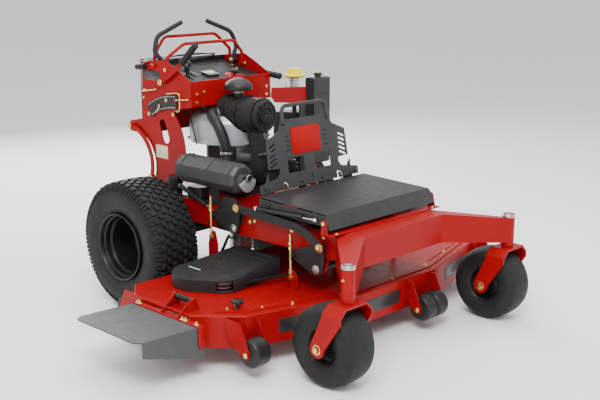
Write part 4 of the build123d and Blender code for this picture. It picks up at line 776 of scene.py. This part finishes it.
# A black sheet in front of the red frame leg: painted shade, darkening the leg where it lies in shadow.
cover = Shape()
cover.box((228, -368, 712), (48, 9, 404))
cover.piece("filler_leg_shade_sheet", "black", edge=0.6)
knobs = Shape()
for way in around(18):
    knobs.box(Vector((*FUEL_CAP, 1054)) + way * 19, (2, 2.4, 9), (way, Z.cross(way), Z))
knobs.piece("fuel_cap_ribs", "plastic", "fuel_cap", edge=0.4)
mark = Shape()
mark.lathe((*FUEL_CAP, 1062.4), Z, [(0, 14), (1.6, 14), (2.2, 12), (2.2, 3)], 32)
mark.piece("fuel_cap_disc", "yellow", "fuel_cap")
seam = Shape()
seam.box((385.0, -371, 840), (1.6, 4, 380))
seam.box((328, -401.2, 960), (90, 2.4, 3))
seam.box((328, -401.2, 700), (90, 2.4, 3))
seam.piece("tank_seams", "cover", edge=0.5)

# ---- engine guard
LEAN = atan2(50, 307)
GUARD_FOOT = Vector((0, -650, 600))
GUARD_UP = Vector((0, sin(LEAN), cos(LEAN)))
GUARD_OUT = Vector((0, -cos(LEAN), sin(LEAN)))


def on_guard(x, up, out=0.0):
    return GUARD_FOOT + X * x + GUARD_UP * up + GUARD_OUT * out


badge = Shape()
badge.prism(rounded(186, 120, 14), on_guard(-10, 214, 0.3), X, GUARD_UP, 2.2)
badge.piece("blank_badge", "badge", edge=0.6)
# Near-black slot shapes on the guard face: painted shade standing in for the openings.
slots = Shape()
for side in (-1, 1):
    for step in range(4):
        spot = on_guard(side * 128 - 10 * (side > 0), 176 + 21 * step, 0.2)
        slots.prism(rounded(26, 4.4, 2), spot, X, GUARD_UP, 0.5)
    slots.prism(rounded(8, 8, 3.9), on_guard(side * 238, 246 - 26, 0.2), X, GUARD_UP, 0.5)
slots.prism(rounded(5, 26, 2.4), on_guard(8, 46, 0.2), X, GUARD_UP, 0.5)
slots.piece("guard_slot_shade", "hole_shade")
ties = Shape()
for x in (-176, 176):
    ties.tube([on_guard(x, 38, 1), on_guard(x + 5, 36, 8), on_guard(x + 9, 24, 12), on_guard(x + 12, 12, 10),
               on_guard(x + 12, 2, 3)], 3.4, steps=12)
ties.piece("guard_ties", "steel")
guard_bolts = Shape()
for x, up in ((-290, 28), (290, 28), (-60, 30), (70, 30), (-140, 296), (140, 296)):
    guard_bolts.bolt(on_guard(x, up, 0.2), GUARD_OUT, 6)
guard_bolts.piece("guard_bolts", "black", edge=0.4)

# ---- console
SLOPE = atan2(72, 327)
PTO = (95, -28)
DISPLAY = (-20, 20)
TRAY_UP = Vector((0, cos(SLOPE), sin(SLOPE)))
TRAY_OUT = Vector((0, -sin(SLOPE), cos(SLOPE)))


def on_tray(x, y, out=0.0):
    return Vector((x, y, 1021.5 + (y + 109) * 72 / 327)) + TRAY_OUT * out


bezel = Shape()
bezel.prism(rounded(68, 58, 5), on_tray(*DISPLAY, 8.7), X, TRAY_UP, 1.6)
bezel.piece("display_bezel", "silver", edge=0.5)
glass = Shape()
glass.prism(rounded(56, 46, 4), on_tray(*DISPLAY, 10.4), X, TRAY_UP, 0.9)
glass.piece("display_glass", "glass", edge=0.3)
symbol = Shape()
symbol.prism(rounded(10, 10, 4.9), on_tray(-20, 14, 11.4), X, TRAY_UP, 0.3)
symbol.prism(rounded(16, 3, 1.4), on_tray(-20, 30, 11.4), X, TRAY_UP, 0.3)
for x, y in ((-150, 78), (-188, 40), (-88, 84)):
    for step in range(5):
        symbol.prism(rounded(9 - step, 2, 0.9), on_tray(x, y - 14 * step, 0.2), X, TRAY_UP, 0.4)
symbol.piece("console_marks", "white")
disc = Shape()
disc.lathe(on_tray(*PTO, 0.2), TRAY_OUT, [(0, 7), (0, 47), (1.8, 47), (2.4, 44), (2.4, 7)], 56, closed=True)
disc.piece("pto_disc", "badge")
grip = Shape()
grip.lathe(on_tray(*PTO, 31.2), TRAY_OUT, [(0, 13), (1.6, 12.4), (2, 3)], 32)
for way in around(14, X, TRAY_UP):
    grip.box(on_tray(*PTO, 21) + way * 19, (2.4, 3, 9), (way, TRAY_OUT.cross(way), TRAY_OUT))
grip.piece("pto_grip", "plastic", "pto_knob", edge=0.5)
strip = Shape()
strip.prism(rounded(330, 26, 4), on_tray(0, 184, 0.2), X, TRAY_UP, 0.6)
strip.prism(rounded(60, 20, 4), on_tray(170, -30, 0.2), X, TRAY_UP, 0.6)
strip.piece("blank_label_strips", "decal", edge=0.2)
for name, x, y in (("throttle", -118, 62), ("choke", -165, 20)):
    pivot = Vector((x, y, on_tray(x, y).z - 22))
    lever = Shape()
    lever.collar(pivot - X * 3, X, 3.2, 8, 6, 28)
    lever.box(pivot + Z * 31, (5, 8, 46))
    size = 15 if name == "throttle" else 13
    lever.lathe(pivot + Z * 50, Z, [
        (0, 5), (2, 8), (8, size - 2), (16, size), (24, size - 0.6), (30, size - 4), (33.4, 4),
    ], 32)
    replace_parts(lever.piece(f"{name}_ball_lever", "plastic", name, edge=0.6), f"{name}_lever")
fixings = Shape()
for side in (-1, 1):
    fixings.bolt((side * 209.6, 122, 1096), -X * side, 9, stud=10)
    for y, z in ((60, 1068), (150, 1096)):
        fixings.bolt((side * 246, y, z + 14), -X * side, 6.5)
    for y, z in ((72, 1086), (168, 1100), (20, 880 if side < 0 else 930)):
        fixings.bolt((side * 255.2, y, z), X * side, 6.5)
fixings.bolt((-279.2, 82, 1028), -X, 10, stud=9)
fixings.bolt((279.2, 85, 1108), X, 10, stud=9)
for y, z in ((196, 866), (60, 945)):
    fixings.bolt((-262.3, y, z), -X, 6.5)
for x, y in ((-216, -70), (216, -70), (216, 120), (190, 60), (-216, 150)):
    fixings.bolt(on_tray(x, y, 0.3), TRAY_OUT, 6)
for side in (-1, 1):
    for y, z in ((340, 790), (186, 556)):
        fixings.bolt((side * 275.2, y, z), X * side, 9)
fixings.piece("tower_bolts", "zinc", edge=0.4)
wires = Shape()
wires.tube([(-150, 196, 1126), (-60, 200, 1134), (60, 200, 1134), (160, 196, 1126)], 3.2, steps=10)
wires.tube([(-190, 150, 1102), (-120, 176, 1118), (0, 168, 1112), (120, 178, 1118)], 3.6, steps=10)
wires.piece("console_wires", "grip")

# height quadrant: rows of dots, red strokes, pointer and the wire that holds the pin
dots, strokes = Shape(), Shape()
for step in range(13):
    angle = radians(59 + 2.6 * step)
    way = Vector((0, cos(angle), sin(angle)))
    middle = Vector((-262.2, 1, 588))
    for radius in (377, 325):
        dots.lathe(middle + way * radius, -X, [(0, 2.7), (0.5, 2.7), (0.6, 2.2)], 14)
    if step % 2 == 0:
        strokes.box(middle + way * 352 - X * 0.25, (0.5, 14, 4), (X, way, X.cross(way)))
dots.piece("quadrant_dots", "white")
strokes.piece("quadrant_strokes", "badge")
pointer = Shape()
pointer.tube([(-265, 113, 918), (-267, 112, 904), (-267, 122, 893), (-265, 132, 879)], 3.4, steps=12)
pointer.piece("height_pointer", "cream")
wire = Shape()
wire.tube([(-266, 48, 976), (-266, -20, 985), (-266, -42, 978), (-266, -46, 940), (-266, -40, 904),
           (-266, -19, 899)], 3.6, steps=12)
wire.tube([(-262, -10, 951), (-262, -106, 962)], 4.2, steps=14)
wire.tube([(-262, 239, 972), (-262, 131, 990)], 3.6, steps=12)
wire.piece("height_pin_wire", "zinc")
stop = Shape()
stop.tube([(-275, 262, 1089), (-275, 199, 1094)], 15, steps=28)
stop.piece("round_stop_knob", "grip", edge=1.5)
arm = Shape()
arm.box((-261, 170, 1096), (10, 60, 16))
arm.piece("round_stop_arm", "red", edge=1)
plate = Shape()
plate.prism(rounded(90, 64, 5), (-255.2, 112, 688), Y, Z, -1.3)
plate.piece("cream_plate", "cream", edge=0.3)
plate = Shape()
plate.prism(rounded(120, 46, 4), (-255.2, 170, 1052), Y, Z, -0.7)
plate.piece("blank_side_label", "decal", edge=0.2)


GRIP_R = 14.7


def sleeve(name, body, start, end):
    """A ribbed rubber sleeve pulled over a round grip."""
    start, end = Vector(start), Vector(end)
    length = (end - start).length
    profile = [(0, GRIP_R - 0.4), (1, GRIP_R + 1.2)]
    ribs = int(length / 9)
    for rib in range(ribs):
        foot = 6 + rib * (length - 14) / ribs
        for along, step in ((0, 1.2), (1, 0.2), (3, 0.2), (4, 1.2)):
            profile.append((foot + along, GRIP_R + step))
    profile += [(length - 2, GRIP_R + 1.2), (length + 2.2, GRIP_R - 2), (length + 2.6, 5)]
    made = Shape()
    made.lathe(start, end - start, profile, 36)
    made.piece(name, "grip", body, angle=50)


sleeve("height_lever_grip", "height_lever", (-273, -79, 1129), (-273, -180, 1219))
sleeve("brake_lever_grip", "brake_lever", (273, -52, 1040), (273, -168, 1032))

# ---- thigh cushion
pad_low, pad_high = node_box("thigh_cushion")
pad = Shape()
pad_middle = (pad_low + pad_high) / 2
PAD_W, PAD_H = pad_high.x - pad_low.x, pad_high.z - pad_low.z
rings = []
for y, inset in ((pad_low.y + 0.6, 8), (pad_low.y + 8, 4), (pad_high.y - 22, 4), (pad_high.y - 12, 12),
                 (pad_high.y - 9, 30)):
    rings.append([(pad_middle.x + a, y, pad_middle.z + b)
                  for a, b in rounded(PAD_W - 2 * inset, PAD_H - 2 * inset, 30, steps=8)])
pad.skin(rings)
cushion = pad.piece("padded_thigh_cushion", "vinyl")


def puff(piece, voxel, pressure, cap, flat_at):
    """Blow a closed piece up like stuffed fabric, but keep the side that rests on the panel flat."""
    remesh = piece.modifiers.new("remesh", "REMESH")
    remesh.mode = "VOXEL"
    remesh.voxel_size = voxel
    apply_modifiers(piece)
    before = [vertex.co.copy() for vertex in piece.data.vertices]
    held = piece.vertex_groups.new(name="held")
    held.add([v.index for v in piece.data.vertices if v.co.y < flat_at + 0.004], 1.0, "REPLACE")
    cloth = piece.modifiers.new("cloth", "CLOTH")
    cloth.settings.use_pressure = True
    cloth.settings.uniform_pressure_force = pressure
    cloth.settings.effector_weights.gravity = 0
    cloth.settings.vertex_group_mass = "held"
    cloth.settings.quality = 5
    for number in range(1, 21):
        bpy.context.scene.frame_set(number)
    apply_modifiers(piece)
    bpy.context.scene.frame_set(1)
    for vertex, start in zip(piece.data.vertices, before):
        move = vertex.co - start
        if move.length > cap:
            vertex.co = start + move.normalized() * cap
        vertex.co.y = max(vertex.co.y, flat_at)
    finer = piece.modifiers.new("finer", "SUBSURF")
    finer.levels = 1
    apply_modifiers(piece)
    piece.data.shade_smooth()


BACK_PANEL = at(0, pad_low.y + 0.4, 0).y
puff(cushion, 0.006, 4.0, 0.006, BACK_PANEL)
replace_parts(cushion, "thigh_cushion")
piping = Shape()
loop = [(pad_middle.x + a, pad_high.y - 17, pad_middle.z + b)
        for a, b in rounded(PAD_W - 6, PAD_H - 6, 30, steps=4)]
piping.tube([*loop, loop[0]], 2.4, steps=10)
for x in (-82, 82):
    piping.tube([(x, pad_high.y - 6.5, pad_low.z + 22), (x, pad_high.y - 5.2, pad_middle.z),
                 (x, pad_high.y - 6.5, pad_high.z - 22)], 1.6, steps=8)
piping.piece("cushion_piping", "vinyl")

# ---- frame, lift and hood
REAR_LINK, FRONT_LINK = (-505, 528), (-1010, 446)
for body, (y, z), (shaft_y, shaft_z) in (
    ("rear_shaft", REAR_LINK, (-475, 428)), ("front_shaft", FRONT_LINK, (-980, 346)),
):
    nuts = Shape()
    for side in (-1, 1):
        nuts.bolt((side * 342.2, y, z), X * side, 12, stud=12)
        nuts.collar((side * 337.3, y, z), X * side, 8.3, 19, 2.4, 32)
    nuts.piece(f"{body}_link_nuts", "zinc", body, edge=0.4)
    caps = Shape()
    for side in (-1, 1):
        end = (side * 326.2, shaft_y, shaft_z)
        caps.lathe(end, X * side, [(0, 20), (4, 20), (6, 17), (6, 8), (9, 7)], 32)
    caps.piece(f"{body}_end_caps", "steel", body, edge=0.5)
strut = Shape()
strut.tube([(-357, -660, 556), (-357, -930, 566)], 8.5, steps=24)
strut.piece("hood_strut_tube", "plastic", edge=0.8)
strut = Shape()
strut.tube([(-357, -930, 566), (-357, -1000, 568)], 4, steps=18)
strut.lathe((-352, -1004, 568), -X, [(0, 9), (9, 9), (10, 7)], 24)
strut.lathe((-349, -652, 556), -X, [(0, 9), (12, 9), (13, 7)], 24)
strut.piece("hood_strut_rod", "chrome", edge=0.4)
bolts = Shape()
for side in (-1, 1):
    for y, z in ((-590, 478), (-560, 470), (60, 470), (-60, 470), (-1000, 480), (-820, 478)):
        bolts.bolt((side * 305.3, y, z), X * side, 7)
    for x in (230, 262):
        bolts.bolt((side * x, -598, 510.3), Z, 7)
    bolts.bolt((side * 318, -1086, 518.3), Z, 6)
bolts.piece("frame_side_bolts", "zinc", edge=0.4)
plate = Shape()
plate.prism([(-470, 400), (-340, 400), (-350, 500), (-390, 560), (-470, 560), (-520, 505), (-520, 470)],
            (-306, 0, 0), Y, Z, -4)
plate.piece("muffler_side_bracket", "black", edge=1)
guard = Shape()
guard.prism(rounded(420, 300, 30), (0, 80, 330), X, Y, 5)
for x in (-150, 0, 150):
    guard.prism(rounded(14, 260, 6), (x, 80, 335), X, Y, 6)
guard.piece("pump_belt_guard", "plastic", edge=1.5)
filter_can = Shape()
for side in (-1, 1):
    filter_can.lathe((side * 222, -30, 335.5), Z, [
        (0, 40), (4, 44), (120, 44), (124, 46), (130, 46), (131, 36), (164, 36),
    ], 40)
filter_can.piece("oil_filters", "plastic", edge=1)
shelf = Shape()
shelf.prism(rounded(60, 96, 10), (-278, -180, 506.4), X, Y, 60)
shelf.prism(rounded(40, 70, 8), (-278, -10, 506.4), X, Y, 84)
shelf.piece("starter_box", "engine", edge=3)
damper = Shape()
damper.tube([(-312, -96, 560), (-312, -270, 500)], 11, steps=24)
damper.piece("steering_damper", "plastic", edge=0.8)
damper = Shape()
damper.tube([(-312, -270, 500), (-312, -380, 462)], 4.5, steps=16)
damper.lathe((-306, -380, 462), -X, [(0, 9), (11, 9), (12, 7)], 24)
damper.lathe((-306, -92, 561), -X, [(0, 10), (13, 10), (14, 8)], 24)
damper.piece("steering_damper_rod", "steel", edge=0.4)
foot = Shape()
foot.prism([(-30, 236), (34, 236), (36, 330), (16, 394), (-14, 394), (-30, 340)], (-330, -345, 0), Y, Z, -3.4)
foot.prism([(-30, 236), (26, 236), (20, 300), (12, 318), (-12, 318), (-30, 290)], (-330, -850, 0), Y, Z, -3.4)
foot.piece("rod_foot_plates", "red", "deck", edge=0.8)
latches = Shape()
for side in (-1, 1):
    latches.box((side * 348.2, -720, 585), (2.4, 34, 14))
    latches.box((side * 349.2, -720, 574), (4, 14, 18))
latches.piece("hood_latches", "grip", "hood", edge=1)
mat = Shape()
mat.prism(rounded(394, 300, 14), (0, 452, 191.2), X, Y, 3)
for row in range(17):
    mat.prism(rounded(372, 8, 3.8), (0, 318 + row * 16.6, 194.1), X, Y, 3)
mat.piece("platform_mat", "grip", "platform", edge=0.6)

# ---- deck
DECK_FRONT = -1106
DECK_TOP = 235.2
DECK_MIDDLE_X = 75
ROLLER_AXLE_Z = 107
STAR_KNOB = (-665, -869)
decals = Shape()
decals.prism(rounded(232, 62, 4), (-38, DECK_FRONT - 0.3, 166), X, Z, 0.7)
for side, middle in ((-1, -430), (1, 580)):
    way = Vector((525, side * 151, 0)).normalized()
    edge = DECK_MIDDLE_X + side * 250
    y = DECK_FRONT + abs(middle - edge) * 151 / 525
    out = way.cross(Z)
    decals.prism(rounded(260, 60, 4), Vector((middle, y, 166)) + out * 0.4, way, Z, 0.7)
decals.piece("blank_deck_panels", "decal", "deck", edge=0.2)
ROLLERS = {
    "front_right": (-712, -1022, 84), "front_left": (858, -1022, 84), "front_centre": (200, -1174, 152),
    "rear_right": (-738, -250, 70),
}
pins = Shape()
for x, y, width in ROLLERS.values():
    for end in (-1, 1):
        pins.bolt((x + end * (width / 2 + 12.2), y, ROLLER_AXLE_Z), X * end, 8)
for x, y in ((60, -1072), (-250, -1052), (-470, -985), (-590, -935), (330, -1048), (560, -985), (640, -835),
             (-640, -828), (-700, -848)):
    pins.bolt((x, y, DECK_TOP + 0.1), Z, 7, stud=11)
pins.piece("deck_bolts", "zinc", "deck", edge=0.4)
for name, (x, y, width) in ROLLERS.items():
    hubs = Shape()
    for end in (-1, 1):
        spot = (x + end * (width / 2 + 0.2), y, ROLLER_AXLE_Z)
        hubs.lathe(spot, X * end, [(0, 8.4), (0, 26), (1.2, 25), (1.2, 8.4)], 36, closed=True)
    hubs.piece(f"roller_hub_{name}", "plastic", f"roller_{name}", edge=0.3)
star = Shape()
star.lathe((*STAR_KNOB, DECK_TOP), Z, [(0, 9), (3, 9), (4, 5.4), (19, 5.4), (20, 12)], 24)
star.fluted(STAR_KNOB, [
    (z, reach, 0.1 * reach) for z, reach in ((254, 12), (258, 23), (268, 24), (273, 21), (275, 8))
], 6, 72)
star.piece("star_knob", "plastic", "deck", edge=0.8, angle=50)
ribs = Shape()
for offset in (0, 22):
    for side in (-1, 1):
        ribs.tube([
            (DECK_MIDDLE_X + side * across_deck - side * inward, y + offset, DECK_TOP + 0.2)
            for across_deck, inward, y in ((765, offset, -900), (595, 0, -962), (325, 0, -1036))
        ], 3)
ribs.piece("pressed_deck_ribs", "red", "deck")
sleeve_tube = Shape()
sleeve_tube.collar((-800, -646, 272), -Y, 6.4, 12, 108, 32)
sleeve_tube.piece("hinge_sleeve", "grip", "deck", edge=0.8)
clip = Shape()
clip.prism([(-16, 0), (16, 0), (16, -72), (9, -92), (-9, -92), (-16, -72)], (-870, -885.6, 219.8), X, Z, 4)
clip.piece("deflector_clip", "red", "deflector", edge=1)
bracket_bolts = Shape()
for y in (-860, -794, -772, -500, -486):
    bracket_bolts.bolt((-870, y, 220.3), Z, 7, stud=12)
bracket_bolts.piece("deflector_bolts", "zinc", "deflector", edge=0.4)

# belt covers: raised ribs, a slot drawn as a near-black box of painted shade with its bright latch, and the
# knob that holds each one down
COVER_Z = 294
COVER_FALL = 8
COVER_RISE = 32
for name, side in SIDES.items():
    nose = DECK_MIDDLE_X + side * 617.5
    bend_x = nose - side * 60

    def cover_top(x):
        """Height of a cover, which rises from its bend to the middle and falls from it to the nose."""
        inward = side * (bend_x - x)
        if inward < 0:
            return COVER_Z + COVER_FALL * inward / 202
        return COVER_Z + COVER_RISE * inward / (side * bend_x - 218)

    ribs = Shape()
    for x in (side * 312, side * 268):
        ribs.tube([(x, y, cover_top(x) + 1) for y in (-424, -540, -660)], 3, steps=10)
    edge_x = [nose + side * 40, bend_x, side * 380, side * 300]
    ribs.tube([(x, -672 - 8 * step, cover_top(x) + 0.6) for step, x in enumerate(edge_x)], 2.2, steps=10)
    ribs.piece(f"cover_ribs_{name}", "cover", "deck")
    skirt = Shape()
    run = [(nose - side * 2, -706.4), (nose - side * 100, -701.6), (side * 330, -692.2), (side * 246, -685.6)]
    skirt.skin([[(x, y, 237), (x, y - 3, 237), (x, y - 3, cover_top(x) - 1), (x, y, cover_top(x) - 1)]
                for x, y in run])
    skirt.piece(f"cover_skirt_{name}", "cover", "deck", edge=0.5)
    knob_x = nose - side * 127
    knob = Shape()
    knob.lathe((knob_x, -470, cover_top(knob_x) - 1), Z, [
        (0, 17), (2.4, 16), (3, 13), (2.6, 8), (7, 7), (7.6, 4),
    ], 32)
    knob.piece(f"cover_knob_{name}", "plastic", "deck")
    slot_x = nose + side * 6
    # The slot is a near-black box on the cover: painted shade for the opening.
    slot = Shape()
    slot.box((slot_x, -470, cover_top(slot_x) + 0.5), (20, 92, 1.6))
    slot.piece(f"cover_slot_shade_{name}", "hole_shade", "deck", edge=0.5)
    latch = Shape()
    latch.box((slot_x + side * 4, -470, cover_top(slot_x) + 1.8), (6, 78, 1.6))
    latch.piece(f"cover_latch_{name}", "white", "deck", edge=0.4)
